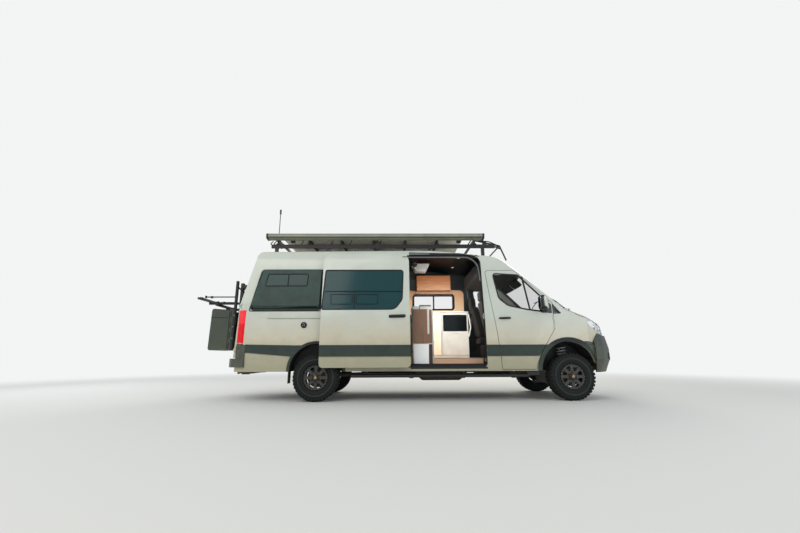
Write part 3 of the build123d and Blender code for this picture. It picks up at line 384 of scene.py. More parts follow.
class VanColours(bpy.types.PropertyGroup):
    """Base colours of the main finishes."""
    paint: colour_setting("Body paint", "Clear-coated solid paint on the body shell and the doors",
        "#C6CCC1")
    cladding: colour_setting("Cladding", "Grained rub rails and wheel arch flares", "#24372F")
    bumper: colour_setting("Bumpers", "Grained bumper covers", "#454D44")
    pods: colour_setting("Window surrounds", "Moulded surrounds on the rear quarters", "#344A44")
    privacy_glass: colour_setting("Privacy glass", "Body-tinted glass of the rear windows", "#1C4145")
    awning: colour_setting("Awning case", "Anodised case on the right edge of the roof", "#979784")
    box: colour_setting("Storage box", "Powder-coated box on the rear carrier", "#414A3E")
    cabinets: colour_setting("Cabinets", "Laminate fronts of the galley", "#D6D8D3")
    wood: colour_setting("Oak", "Veneer of the wall panel and the overhead cupboard", "#DD9562")


class VanSizes(bpy.types.PropertyGroup):
    """Sizes of the fittings that a user would change."""
    tread_pitches: bpy.props.IntProperty(name="Tread pitches", description="Tread blocks round one tyre",
        default=38, min=24, max=60)
    tread_radius: bpy.props.FloatProperty(name="Tread radius",
        description="Outer radius of the tread blocks", default=0.3868, min=0.37, max=0.387, unit="LENGTH")
    rubber: bpy.props.FloatProperty(name="Window rubber",
        description="How far the rubbers reach over the body", default=0.01, min=0.002, max=0.03,
        unit="LENGTH")
    louvres: bpy.props.IntProperty(name="Rack louvres",
        description="Slanted slots below the rack's side rail", default=12, min=1, max=30)
    mouth_slats: bpy.props.IntProperty(name="Bumper slats", description="Bars across the lower air mouth",
        default=4, min=1, max=8)
    panel_rim: bpy.props.FloatProperty(name="Panel rim", description="Width of the solar panels' frames",
        default=0.018, min=0.005, max=0.05, unit="LENGTH")
    light: bpy.props.FloatProperty(name="Light level", description="Factor on all the studio lamps",
        default=1.0, min=0.0, max=3.0)


# Finishes

def shader_of(name, base, roughness, **sockets):
    """A new material with its principled shader; sockets are set by their labels."""
    finish = bpy.data.materials.new(name)
    finish.use_nodes = True
    tree = finish.node_tree
    tree.nodes.clear()
    values = {"Base Color": linear(base), "Roughness": roughness}
    values.update({key.replace("_", " "): value for key, value in sockets.items()})
    shader = add(tree, "ShaderNodeBsdfPrincipled", values)
    add(tree, "ShaderNodeOutputMaterial", links={"Surface": shader.outputs[0]})
    return finish, tree, shader


def mottled(tree, shader, base, dark, scale, amount=1.0):
    """Lets the base colour drift between two hex colours over a noise of that scale per metre."""
    place = add(tree, "ShaderNodeTexCoord").outputs["Object"]
    noise = add(tree, "ShaderNodeTexNoise", {"Scale": scale, "Detail": 5.0, "Roughness": 0.6},
        {"Vector": place})
    ramp = add(tree, "ShaderNodeMapRange", {"From Min": 0.35, "From Max": 0.65, "To Max": amount},
        {"Value": noise.outputs[0]})
    mix = add(tree, "ShaderNodeMix", {6: linear(base), 7: linear(dark)}, {0: ramp.outputs[0]},
        data_type="RGBA")
    tree.links.new(mix.outputs[2], shader.inputs["Base Color"])
    return place, mix


def grained(tree, shader, place, millimetres, depth):
    """A bump of grains about so many millimetres wide, raised by up to a depth in millimetres."""
    grain = add(tree, "ShaderNodeTexNoise", {"Scale": 500.0 / millimetres, "Detail": 2.0}, {"Vector": place})
    bump = add(tree, "ShaderNodeBump", {"Strength": 0.6, "Distance": depth / 1000},
        {"Height": grain.outputs[0]})
    tree.links.new(bump.outputs[0], shader.inputs["Normal"])


def dusted(tree, shader, source, dust, top, amount):
    """Road dust that fades out above a height."""
    place = add(tree, "ShaderNodeTexCoord").outputs["Object"]
    height = add(tree, "ShaderNodeSeparateXYZ", links={0: place}).outputs[2]
    noise = add(tree, "ShaderNodeTexNoise", {"Scale": 6.0, "Detail": 6.0}, {"Vector": place}).outputs[0]
    level = add(tree, "ShaderNodeMath", {1: 0.35}, {0: noise}, operation="MULTIPLY").outputs[0]
    wavy = add(tree, "ShaderNodeMath", links={0: height, 1: level}, operation="SUBTRACT").outputs[0]
    fade = add(tree, "ShaderNodeMapRange", {"From Min": top - 0.45, "From Max": top, "To Min": amount,
        "To Max": 0.0}, {"Value": wavy})
    mix = add(tree, "ShaderNodeMix", {7: linear(dust)}, {0: fade.outputs[0], 6: source}, data_type="RGBA")
    tree.links.new(mix.outputs[2], shader.inputs["Base Color"])
    return mix.outputs[2]


def where(tree, *tests):
    """A mask that is one where every test holds; a test is a source, how it compares and a limit."""
    mask = None
    for source, comparison, limit in tests:
        part = add(tree, "ShaderNodeMath", {1: limit}, {0: source}, operation=comparison).outputs[0]
        if mask is not None:
            part = add(tree, "ShaderNodeMath", links={0: mask, 1: part}, operation="MULTIPLY").outputs[0]
        mask = part
    return mask


def depth_below_skin(tree, place, shift):
    """How many metres a point lies inside the body's straight side; shift is how far a panel stands out."""
    split = add(tree, "ShaderNodeSeparateXYZ", links={0: place})

    skin = None
    for output, offset, (start, level, slope) in ((2, 0.0, LOWER_SIDE), (2, 0.0, UPPER_SIDE),
            (0, AXLE_X, FRONT_TAPER)):
        base = level + shift - (start + offset) * slope
        line = add(tree, "ShaderNodeMath", {1: slope, 2: base}, {0: split.outputs[output]},
            operation="MULTIPLY_ADD")
        skin = line.outputs[0] if skin is None else add(
            tree, "ShaderNodeMath", links={0: skin, 1: line.outputs[0]}, operation="MINIMUM").outputs[0]
    skin = add(tree, "ShaderNodeMath", {1: UPPER_SIDE[1] + shift}, {0: skin}, operation="MINIMUM").outputs[0]
    far = add(tree, "ShaderNodeMath", links={0: split.outputs[1]}, operation="ABSOLUTE").outputs[0]
    return add(tree, "ShaderNodeMath", links={0: skin, 1: far}, operation="SUBTRACT").outputs[0]


# Which faces of a painted panel show the cabin's lining, and the colours of the lining; the ceiling's colour
# is darker, painted shade on faces that look down
FACING_INWARDS = -0.55
WALL_FROM = 0.6
ROOF_FROM = 2.3
PANEL_THICKNESS = 0.012
LINING_TOP = 2.42
LINING_REAR = -5.6
LINING = "#131A1B"
SHADED_CEILING = "#071318"


def painted_steel(name, base, dark, lined_side=None, lined_to=-0.95):
    """Clear-coated solid paint, dusted low down; the lining shows on faces that look inwards, drawn darker
    on the ceiling as painted shade.
    """
    finish, tree, shader = shader_of(name, base, 0.38, Coat_Weight=0.55, Coat_Roughness=0.08)
    place, mix = mottled(tree, shader, base, dark, 1.5, 0.5)
    dirt = dusted(tree, shader, mix.outputs[2], "#CDB893", 1.28, 0.5)
    dirt = dusted(tree, shader, dirt, "#8A8A6A", 0.9, 0.6)
    split = add(tree, "ShaderNodeSeparateXYZ", links={0: place})
    facing = add(tree, "ShaderNodeSeparateXYZ", links={0: add(tree,
        "ShaderNodeNewGeometry").outputs["Normal"]})
    side = add(tree, "ShaderNodeMath", links={0: split.outputs[1]}, operation="SIGN").outputs[0]
    out = add(tree, "ShaderNodeMath", links={0: side, 1: facing.outputs[1]}, operation="MULTIPLY").outputs[0]
    far = add(tree, "ShaderNodeMath", links={0: split.outputs[1]}, operation="ABSOLUTE").outputs[0]
    wall = where(tree, (out, "LESS_THAN", FACING_INWARDS), (far, "GREATER_THAN", WALL_FROM))
    # Faces high up that look down take the lining's dark colour made darker still: painted shade.
    roof = where(tree, (facing.outputs[2], "LESS_THAN", FACING_INWARDS),
        (split.outputs[2], "GREATER_THAN", ROOF_FROM))
    lined = add(tree, "ShaderNodeMix", {7: linear(LINING)}, {0: wall, 6: dirt}, data_type="RGBA")
    roofed = add(tree, "ShaderNodeMix", {7: linear(SHADED_CEILING)}, {0: roof, 6: lined.outputs[2]},
        data_type="RGBA")
    if lined_side is not None:
        depth = depth_below_skin(tree, place, lined_side)
        deep = where(tree, (depth, "GREATER_THAN", PANEL_THICKNESS),
            (split.outputs[2], "LESS_THAN", LINING_TOP),
            (split.outputs[0], "LESS_THAN", from_axle(lined_to)),
            (split.outputs[0], "GREATER_THAN", from_axle(LINING_REAR)))
        roofed = add(tree, "ShaderNodeMix", {7: linear(LINING)}, {0: deep, 6: roofed.outputs[2]},
            data_type="RGBA")
    tree.links.new(roofed.outputs[2], shader.inputs["Base Color"])
    peel = add(tree, "ShaderNodeTexNoise", {"Scale": 260.0, "Detail": 1.0}, {"Vector": place})
    bump = add(tree, "ShaderNodeBump", {"Strength": 0.05, "Distance": 0.0004}, {"Height": peel.outputs[0]})
    tree.links.new(bump.outputs[0], shader.inputs["Normal"])
    return finish


def moulded(name, base, dark, roughness, grain=1.2, depth=0.25, dust=0.0, top=1.0, lip=None, **sockets):
    """A fine-grained surface with a slight drift of colour and dust low down; lip colours the arch edges."""
    finish, tree, shader = shader_of(name, base, roughness, **sockets)
    place, mix = mottled(tree, shader, base, dark, 5.0)
    shown = mix.outputs[2]
    if dust:
        shown = dusted(tree, shader, shown, "#8F8570", top, dust)
    if lip:
        height = add(tree, "ShaderNodeSeparateXYZ", links={0: place}).outputs[2]
        above = add(tree, "ShaderNodeMapRange", {"From Min": 0.915, "From Max": 0.935},
            {"Value": height}).outputs[0]
        edge = add(tree, "ShaderNodeMix", {7: linear(lip)}, {0: above, 6: shown}, data_type="RGBA")
        tree.links.new(edge.outputs[2], shader.inputs["Base Color"])
    grained(tree, shader, place, grain, depth)
    return finish


def window_glass(name, tint, solid, roughness=0.03, level=0.5, clear=None):
    """Body-tinted float glass; solid is the share of light it stops, clear the share in the far wall."""
    finish, tree, shader = shader_of(name, tint, roughness, IOR=1.5, Alpha=solid, Specular_IOR_Level=level)
    place = add(tree, "ShaderNodeTexCoord").outputs["Object"]
    ripple = add(tree, "ShaderNodeTexNoise", {"Scale": 4.0, "Detail": 0.0}, {"Vector": place})
    bump = add(tree, "ShaderNodeBump", {"Strength": 0.04, "Distance": 0.003}, {"Height": ripple.outputs[0]})
    tree.links.new(bump.outputs[0], shader.inputs["Normal"])
    if clear is not None:
        split = add(tree, "ShaderNodeSeparateXYZ", links={0: place})
        zone = where(tree, (split.outputs[1], "GREATER_THAN", 0.5),
            (split.outputs[0], "GREATER_THAN", from_axle(-3.0)))
        alpha = add(tree, "ShaderNodeMapRange", {"To Min": solid, "To Max": clear},
            {"Value": zone}).outputs[0]
        tree.links.new(alpha, shader.inputs["Alpha"])
    return finish


def glowing(name, base, strength):
    """Pale acrylic with a faint light in it, so that lamps read as lamps."""
    finish, tree, shader = shader_of(name, base, 0.2, Emission_Strength=strength,
        Emission_Color=linear(base))
    place, _ = mottled(tree, shader, base, "#E6EAEE", 40.0)
    grained(tree, shader, place, 4.0, 0.1)
    return finish


def veneer(name, base, dark, along, pale=None):
    """Oiled wood veneer: long fibres along one axis, about 6 mm wide; pale is painted light, a paler colour
    that its lower part fades towards.
    """
    finish, tree, shader = shader_of(name, base, 0.42, Coat_Weight=0.15, Coat_Roughness=0.3)
    place = add(tree, "ShaderNodeTexCoord").outputs["Object"]
    stretch = [26.0, 26.0, 26.0]
    stretch[along] = 1.6
    laid = add(tree, "ShaderNodeMapping", {"Scale": stretch}, {"Vector": place}).outputs[0]
    fibre = add(tree, "ShaderNodeTexNoise", {"Scale": 3.0, "Detail": 8.0, "Roughness": 0.65,
        "Distortion": 0.6}, {"Vector": laid})
    ramp = add(tree, "ShaderNodeMapRange", {"From Min": 0.3, "From Max": 0.72}, {"Value": fibre.outputs[0]})
    mix = add(tree, "ShaderNodeMix", {6: linear(base), 7: linear(dark)}, {0: ramp.outputs[0]},
        data_type="RGBA")
    tree.links.new(mix.outputs[2], shader.inputs["Base Color"])
    # Painted light: below 2.35 m the wood fades towards the pale colour, brighter lower down as if lit
    # there.
    if pale:
        height = add(tree, "ShaderNodeSeparateXYZ", links={0: place}).outputs[2]
        low = add(tree, "ShaderNodeMapRange", {"From Min": 2.35, "From Max": 1.7, "To Max": 0.85},
            {"Value": height})
        painted_light_mix = add(tree, "ShaderNodeMix", {7: linear(pale)}, {0: low.outputs[0], 6: mix.outputs[2]},
            data_type="RGBA")
        tree.links.new(painted_light_mix.outputs[2], shader.inputs["Base Color"])
    bump = add(tree, "ShaderNodeBump", {"Strength": 0.25, "Distance": 0.0006}, {"Height": fibre.outputs[0]})
    tree.links.new(bump.outputs[0], shader.inputs["Normal"])
    return finish


THREAD_DIVISOR = 6.283    # with it the threads lie about twice the given spacing apart


def woven(name, base, dark, spacing):
    """Plain-woven cloth: crossing threads, drawn coarser than real ones; spacing sets their distance."""
    finish, tree, shader = shader_of(name, base, 0.9, Sheen_Weight=0.06, Sheen_Roughness=0.5)
    place = add(tree, "ShaderNodeTexCoord").outputs["Object"]
    scale = 1000.0 / spacing / THREAD_DIVISOR
    waves = []
    for direction in ("X", "Z"):
        turned = add(tree, "ShaderNodeMapping", {"Rotation": (0.5, 0.3, 0.2)}, {"Vector": place}).outputs[0]
        wave = add(tree, "ShaderNodeTexWave", {"Scale": scale, "Distortion": 0.4}, {"Vector": turned},
            bands_direction=direction)
        waves.append(wave.outputs[1])
    cross = add(tree, "ShaderNodeMath", links={0: waves[0], 1: waves[1]}, operation="MULTIPLY").outputs[0]
    mix = add(tree, "ShaderNodeMix", {6: linear(dark), 7: linear(base)}, {0: cross}, data_type="RGBA")
    tree.links.new(mix.outputs[2], shader.inputs["Base Color"])
    bump = add(tree, "ShaderNodeBump", {"Strength": 0.5, "Distance": 0.0008}, {"Height": cross})
    tree.links.new(bump.outputs[0], shader.inputs["Normal"])
    return finish


def tyre_rubber():
    """Vulcanised rubber: near black and dull, greyed by dust, with a fine grain."""
    finish, tree, shader = shader_of("Tyre rubber", "#0E1313", 0.8, Specular_IOR_Level=0.3)
    place, mix = mottled(tree, shader, "#0D1213", "#141A1A", 30.0)
    dusted(tree, shader, mix.outputs[2], "#4A443A", 0.9, 0.07)
    grained(tree, shader, place, 2.0, 0.5)
    return finish


def lamp_red():
    """Acrylic tail lamp: a coral upper part over a deep red lower part, with fine upright ribs inside."""
    finish, tree, shader = shader_of("Red lamp acrylic", "#E8101E", 0.3, Coat_Weight=0.15,
        Coat_Roughness=0.05, Specular_IOR_Level=0.2)
    place = add(tree, "ShaderNodeTexCoord").outputs["Object"]
    split = add(tree, "ShaderNodeSeparateXYZ", links={0: place})
    upper = add(tree, "ShaderNodeMapRange", {"From Min": 1.27, "From Max": 1.3}, {"Value": split.outputs[2]})
    ribs = add(tree, "ShaderNodeTexWave", {"Scale": 28.0}, {"Vector": place}, bands_direction="X")
    shade = add(tree, "ShaderNodeMix", {6: linear("#E80016"), 7: linear("#C4000F")}, {0: ribs.outputs[1]},
        data_type="RGBA")
    mix = add(tree, "ShaderNodeMix", {7: linear("#F0323C")}, {0: upper.outputs[0], 6: shade.outputs[2]},
        data_type="RGBA")
    tree.links.new(mix.outputs[2], shader.inputs["Base Color"])
    shader.inputs["Emission Strength"].default_value = 0.12
    shader.inputs["Emission Color"].default_value = linear("#FF2020")
    return finish


def solar_cells():
    """Monocrystalline cells under glass: near-black blue squares 156 mm wide with thin pale bars; below them
    a white backsheet, tinted warm by painted light.
    """
    finish, tree, shader = shader_of("Solar cells under glass", "#0C1220", 0.35, Coat_Weight=0.25,
        Coat_Roughness=0.2, Specular_IOR_Level=0.3)
    place = add(tree, "ShaderNodeTexCoord").outputs["Object"]
    cells = add(tree, "ShaderNodeTexBrick", {
        "Color1": linear("#0D1424"), "Color2": linear("#101A2E"), "Mortar": linear("#59606A"), "Scale": 1.0,
        "Mortar Size": 0.004, "Mortar Smooth": 0.0, "Brick Width": 0.156, "Row Height": 0.156},
        {"Vector": place}, offset=0.0)
    facing = add(tree, "ShaderNodeNewGeometry").outputs["Normal"]
    height = add(tree, "ShaderNodeSeparateXYZ", links={0: facing}).outputs[2]
    # Faces that don't look up: a white backsheet, drawn warm cream and bright as painted light bounced from
    # the ground.
    top = where(tree, (height, "GREATER_THAN", 0.5))
    mix = add(tree, "ShaderNodeMix", {6: linear("#F0E4D2")}, {0: top, 7: cells.outputs[0]}, data_type="RGBA")
    tree.links.new(mix.outputs[2], shader.inputs["Base Color"])
    return finish


def floor_vinyl():
    """Printed vinyl planks on the floor and step by the side door, and dark coated steel elsewhere."""
    finish, tree, shader = shader_of("Floor vinyl and coated steel", "#A98A6C", 0.55)
    place = add(tree, "ShaderNodeTexCoord").outputs["Object"]
    laid = add(tree, "ShaderNodeMapping", {"Scale": (1.2, 22.0, 22.0)}, {"Vector": place}).outputs[0]
    fibre = add(tree, "ShaderNodeTexNoise", {"Scale": 3.0, "Detail": 8.0, "Roughness": 0.65},
        {"Vector": laid})
    plank = add(tree, "ShaderNodeMix", {6: linear("#E6BF9B"), 7: linear("#BE9474")}, {0: fibre.outputs[0]},
        data_type="RGBA")
    split = add(tree, "ShaderNodeSeparateXYZ", links={0: place})
    facing = add(tree, "ShaderNodeSeparateXYZ", links={0: add(tree,
        "ShaderNodeNewGeometry").outputs["Normal"]})
    up = add(tree, "ShaderNodeMath", {1: 0.7}, {0: facing.outputs[2]}, operation="GREATER_THAN").outputs[0]
    right = add(tree, "ShaderNodeMath", {1: -0.6}, {0: facing.outputs[1]}, operation="LESS_THAN").outputs[0]
    step = add(tree, "ShaderNodeMath", links={0: up, 1: right}, operation="MAXIMUM").outputs[0]
    mask = where(tree, (step, "GREATER_THAN", 0.5), (split.outputs[2], "GREATER_THAN", 0.49),
        (split.outputs[2], "LESS_THAN", 0.705), (split.outputs[0], "LESS_THAN", from_axle(-1.42)),
        (split.outputs[0], "GREATER_THAN", from_axle(-3.0)))
    mix = add(tree, "ShaderNodeMix", {6: linear("#242425")}, {0: mask, 7: plank.outputs[2]},
        data_type="RGBA")
    tree.links.new(mix.outputs[2], shader.inputs["Base Color"])
    grained(tree, shader, place, 2.5, 0.3)
    return finish


FINISHES = {}


class VAN_OT_finishes(bpy.types.Operator):
    """All the finishes, in the colours that the panel gives."""
    bl_idname = "van.finishes"
    bl_label = "Finishes"

    def execute(self, context):
        hue = context.scene.van_colours
        FINISHES.update({"paint": painted_steel("Stone green body paint", hue.paint, "#B4BAB0"),
            "side_paint": painted_steel("Stone green side panels", hue.paint, "#B4BAB0", lined_side=0.0),
            "door_paint": painted_steel("Stone green front doors", hue.paint, "#B4BAB0", lined_side=0.0,
            lined_to=2.0), "slider_paint": painted_steel("Stone green sliding door", hue.paint, "#B4BAB0",
            lined_side=0.1), "pod": moulded("Dark green-grey coated surround", hue.pods, "#303F3A", 0.5, 3.0,
            # This near-black finish serves real black frames and the painted shade on the pods' bevels.
            0.08, Specular_IOR_Level=0.3), "black_frames_and_bevel_shade": moulded("Near-black frames and painted bevel shade", "#080D0D",
            "#0C1111", 0.6, 3.0, 0.08, Specular_IOR_Level=0.2),
            "pod_glass": moulded("Small tinted pane", "#1F3D3B", "#2A403D", 0.3, 9.0, 0.01,
            Specular_IOR_Level=0.3), "slate": moulded("Slate grained polypropylene", hue.cladding, "#1F2D29",
            0.6, 1.5, 0.3, 0.1, 0.7, lip="#121716"),
            "bumper": moulded("Grey grained bumper", hue.bumper, "#3C433B", 0.55, 1.5, 0.25, 0.15, 0.8),
            "black": moulded("Black grained plastic", "#141618", "#1A1C1E", 0.5, 1.5, 0.25),
            "gloss": moulded("Gloss black plastic", "#0D0E10", "#111215", 0.16, 6.0, 0.03),
            "rubber": moulded("Black window rubber", "#0C0E0F", "#131415", 0.7, 2.0, 0.15),
            "coat": moulded("Black powder coat", "#131415", "#191A1B", 0.5, 1.6, 0.2),
            "chassis": moulded("Chassis paint with dust", "#161718", "#201F1D", 0.65, 3.0, 0.4, 0.3, 0.7),
            "iron": moulded("Cast iron", "#3A3735", "#463A32", 0.7, 2.0, 0.5, 0.3, 0.8, Metallic=0.5),
            "engine": moulded("Cast aluminium", "#8B8C8B", "#6F6F6D", 0.5, 2.0, 0.4, Metallic=0.8),
            "floor": floor_vinyl(), "clear": window_glass("Clear safety glass", "#1A2628", 0.05),
            "screen": window_glass("Windscreen glass", "#22343A", 0.13),
            "dark": window_glass("Privacy glass", hue.privacy_glass, 0.93, 0.12, 0.28, clear=0.04),
            "lens": window_glass("Clear polycarbonate lens", "#EEF3F6", 0.16), "red": lamp_red(),
            "cells": solar_cells(), "awning": moulded("Anodised awning case", hue.awning, "#85877A", 0.5,
            4.0, 0.05), "awning_edge": moulded("Dark awning extrusion", "#3A3F38", "#33382F", 0.5, 4.0,
            0.05), "dash": moulded("Soft black dashboard", "#16181A", "#1D1F21", 0.65, 1.8, 0.3),
            "headliner": woven("Dark headliner cloth", "#1D1917", "#131010", 4.0),
            "seat": woven("Black seat cloth", "#121315", "#08090A", 5.0),
            "laminate": moulded("White laminate", hue.cabinets, "#CBCDC8", 0.35, 8.0, 0.03,
            Coat_Weight=0.15), "cream": moulded("Cream laminate", "#FFF6E6", "#FBE9C8", 0.4, 8.0, 0.03),
            "glass_front": moulded("Black appliance glass", "#081011", "#0B1213", 0.2, 9.0, 0.01,
            # The oak's paler lower part is painted light.
            Specular_IOR_Level=0.3), "wood": veneer("Oak veneer", hue.wood, "#B36B3C", 0, pale="#EBD2AA"),
            "walnut": veneer("Walnut veneer", "#916C53", "#74543F", 2),
            "dark_wood": veneer("Dark stained board", "#3A2A22", "#2A1D18", 0),
            "ticking": woven("Pale mattress cloth", "#D2CFC6", "#B9B5AB", 8.0),
            "box": moulded("Green-grey powder-coated box", hue.box, "#3A4237", 0.55, 2.2, 0.25, 0.1, 1.0),
            # The tyre ring's paler colour is a painted highlight.
            "tyre": tyre_rubber(), "tyre_highlight_ring": moulded("Rubber ring with painted highlight", "#2B3633", "#232C2A", 0.8,
            2.0, 0.3), "wheel": moulded("Satin black wheel paint", "#111314", "#17191A", 0.36, 3.0, 0.05,
            0.08, 0.7, Coat_Weight=0.25), "steel": moulded("Zinc-plated steel", "#9B9C9C", "#86888A", 0.35,
            3.0, 0.1, Metallic=0.9), "track": moulded("Grey track cover", "#6E7472", "#62686A", 0.45, 3.0,
            0.1), "chrome": moulded("Lamp reflector chrome", "#F2F4F6", "#E4E8EC", 0.12, 9.0, 0.01,
            Metallic=0.85), "brass": moulded("Brushed brass cap", "#B9975E", "#947446", 0.32, 2.0, 0.08,
            Metallic=0.9), "amber": moulded("Amber lamp plastic", "#C96A14", "#B85E10", 0.2, 6.0, 0.02,
            Coat_Weight=0.5), "frosted": moulded("Frosted lamp lens", "#F1F4F6", "#E3E8EC", 0.15, 6.0, 0.02,
            Coat_Weight=0.6), "guide": glowing("Lit acrylic", "#F4F6F8", 0.9),
            "projector": moulded("Lamp projector glass", "#7F97A6", "#8FA4B0", 0.05, 9.0, 0.01,
            Coat_Weight=1.0), "mirror": moulded("Mirror glass", "#C9CED2", "#C4CACE", 0.03, 9.0, 0.005,
            Metallic=1.0), "white": moulded("Matt white plastic", "#FBFBF9", "#F2F3F0", 0.5, 3.0, 0.05), })
        return {"FINISHED"}


NODE_FINISHES = {"roof_panel": "paint", "front_body": "paint", "body_side_right": "side_paint",
    "body_side_left": "side_paint", "sliding_door": "slider_paint", "bonnet": "paint", "floor_pan": "floor",
    "running_gear": "chassis", "engine_block": "engine", "windscreen": "screen", "side_glass": "dark",
    "slider_rail": "side_paint", "window_pods": "pod", "cladding": "slate", "front_bumper": "bumper",
    "grille": "gloss", "headlamps": "lens", "tail_lamps": "red", "rear_bumper": "bumper",
    "side_steps": "coat", "roof_rack": "coat", "solar_panels": "cells", "awning": "awning",
    "dashboard": "dash", "front_seats": "seat", "galley": "laminate", "oven": "glass_front",
    "cupboards": "wood", "bed": "wood", "mattress": "ticking", "rear_carrier": "coat", "storage_box": "box",
    }
for side_name, _ in SIDES:
    NODE_FINISHES.update({f"front_door_{side_name}": "door_paint", f"front_glass_{side_name}": "clear",
        f"door_trim_{side_name}": "slate", f"rear_door_{side_name}": "paint",
        f"rear_glass_{side_name}": "dark", f"knuckle_{side_name}": "iron", f"tyre_front_{side_name}": "tyre",
        f"tyre_rear_{side_name}": "tyre", f"rim_front_{side_name}": "wheel",
        f"rim_rear_{side_name}": "wheel"})


class VAN_OT_node_coats(bpy.types.Operator):
    """Gives every carried-over solid its finish."""
    bl_idname = "van.node_coats"
    bl_label = "Node coats"

    def execute(self, context):
        for name, key in NODE_FINISHES.items():
            node = NODES[name]
            if not node.material_slots:
                node.data.materials.append(FINISHES[key])
            for slot in node.material_slots:
                slot.link = "OBJECT"
                slot.material = FINISHES[key]
        return {"FINISHED"}


# Wheels

TYRE_HALF = [
    (0.212, -0.098), (0.226, -0.113), (0.262, -0.1195), (0.283, -0.1205), (0.286, -0.1225), (0.303, -0.1225),
    (0.306, -0.1205), (0.335, -0.118), (0.352, -0.112), (0.366, -0.104), (0.3735, -0.092), (0.3755, -0.05),
]
TYRE_PROFILE = TYRE_HALF + [(0.3765, 0.0)] + [(r, -y) for r, y in reversed(TYRE_HALF)]


def tread_block(shape, angle, half_angle, y_low, y_high, inner, outer, skew=0.0):
    """One tread block: a wedge between two angles, two widths and two radii, drawn about the Y axis."""
    rings = []
    for r, shrink in ((inner, 1.0), (outer - 0.002, 0.97), (outer, 0.88)):
        ring = []
        middle = (y_low + y_high) / 2
        for da, y in ((-1, y_low), (1, y_low), (1, y_high), (-1, y_high)):
            yy = middle + (y - middle) * shrink
            a = angle + da * half_angle * shrink + skew * (yy - middle)
            ring.append((r * math.sin(a), yy, r * math.cos(a)))
        rings.append(ring)
    shape.loops(rings)


class VAN_OT_tyres(bpy.types.Operator):
    """Off-road tyres: a turned casing, and one pitch of tread blocks and shoulder lugs copied round it."""
    bl_idname = "van.tyres"
    bl_label = "Tyres"

    def execute(self, context):
        sizes = context.scene.van_sizes
        pitches = sizes.tread_pitches
        pitch = 2 * math.pi / pitches
        for end, side, x, s in WHEELS:
            body = f"wheel_{end}_{side}"
            centre = (x, s * WHEEL_Y, WHEEL_Z)
            casing = Shape().lathe(TYRE_PROFILE, centre, (0, 1, 0), steps=96, closed=True)
            casing.build(f"tyre_casing_{end}_{side}", "tyre", body, replaces=(f"tyre_{end}_{side}",),
                smooth=50)
            # The raised rib of the sidewall gets a paler, teal-tinted rubber: a painted highlight of the
            # light it catches.
            ring = Shape().lathe([(0.2855, 0.12), (0.2865, 0.1228), (0.3025, 0.1228), (0.3035, 0.12)],
                centre, (0, s, 0), steps=96, closed=True)
            ring.build(f"tyre_highlight_ring_{end}_{side}", "tyre_highlight_ring", body, smooth=50)
            one = Shape()
            for sign in (-1, 1):
                wide = sorted((sign * 0.074, sign * 0.108))
                tread_block(one, 0.18 * pitch * sign, pitch * 0.33, *wide, 0.36, 0.3855)
                shoulder = sorted((sign * 0.1, sign * 0.1205))
                tread_block(one, 0.18 * pitch * sign, pitch * 0.26, *shoulder, 0.332, 0.37)
                inner = sorted((sign * 0.03, sign * 0.068))
                tread_block(one, -0.1 * pitch * sign, pitch * 0.36, *inner, 0.37, sizes.tread_radius,
                    skew=sign * 1.2)
            tread_block(one, 0.35 * pitch, pitch * 0.3, -0.024, 0.024, 0.37, 0.387, skew=2.2)
            repeated(one, f"tyre_tread_{end}_{side}", "tyre", body, pitches, turn=(0, pitch, 0),
                centre=centre, smooth=30)
        return {"FINISHED"}


# Name, profile of radius and distance outwards, steps round it, closed or not, finish and smoothing angle
WHEEL_FITTINGS = (("rim_ring", [(0.186, 0.094), (0.186, 0.101), (0.189, 0.104), (0.2105, 0.104),
    (0.2112, 0.101), (0.2112, 0.094)], 72, True, "wheel", 40),
    ("wheel_cap", [(0.055, 0.1165), (0.055, 0.121), (0.051, 0.1245), (0.03, 0.1262), (0.012, 0.1268),
    (0.0, 0.127)], 40, False, "gloss", 60), ("brake_disc",
    [(0.07, -0.03), (0.158, -0.03), (0.16, -0.026), (0.16, -0.01), (0.158, -0.006), (0.07, -0.006)], 64,
    True, "iron", 40), ("cap_plug", [(0.024, 0.1255), (0.024, 0.1275), (0.021, 0.1285), (0.0, 0.129)], 32,
    False, "brass", 60), )


class VAN_OT_wheels(bpy.types.Operator):
    """Fittings of the eight-spoke wheels: nuts, rim ring, bolts, centre cap and the brake disc behind."""
    bl_idname = "van.wheels"
    bl_label = "Wheels"

    def execute(self, context):
        for end, side, x, s in WHEELS:
            body = f"wheel_{end}_{side}"
            centre = Vector((x, s * WHEEL_Y, WHEEL_Z))
            out = Vector((0, s, 0))
            nut = Shape().lathe([(0.0115, 0.088), (0.0125, 0.092), (0.0125, 0.11), (0.01, 0.114),
                (0.0, 0.115)], (0.0, 0.0, 0.073), out, steps=6)
            repeated(nut, f"wheel_nuts_{end}_{side}", "gloss", body, 6, turn=(0, math.pi / 3, 0),
                centre=centre, smooth=30)
            bolt = Shape().lathe([(0.0055, 0.098), (0.0055, 0.1075), (0.004, 0.1095), (0.0, 0.11)],
                (0.0, 0.0, 0.1975), out, steps=6)
            repeated(bolt, f"rim_bolts_{end}_{side}", "steel", body, 24, turn=(0, math.pi / 12, 0),
                centre=centre, smooth=30)
            hub = f"knuckle_{side}" if end == "front" else "root"
            for name, profile, steps, closed, finish, smooth in WHEEL_FITTINGS:
                fitting = Shape().lathe(profile, centre, out, steps=steps, closed=closed)
                rides_on = hub if name == "brake_disc" else body
                fitting.build(f"{name}_{end}_{side}", finish, rides_on, smooth=smooth)
        return {"FINISHED"}


# Windows

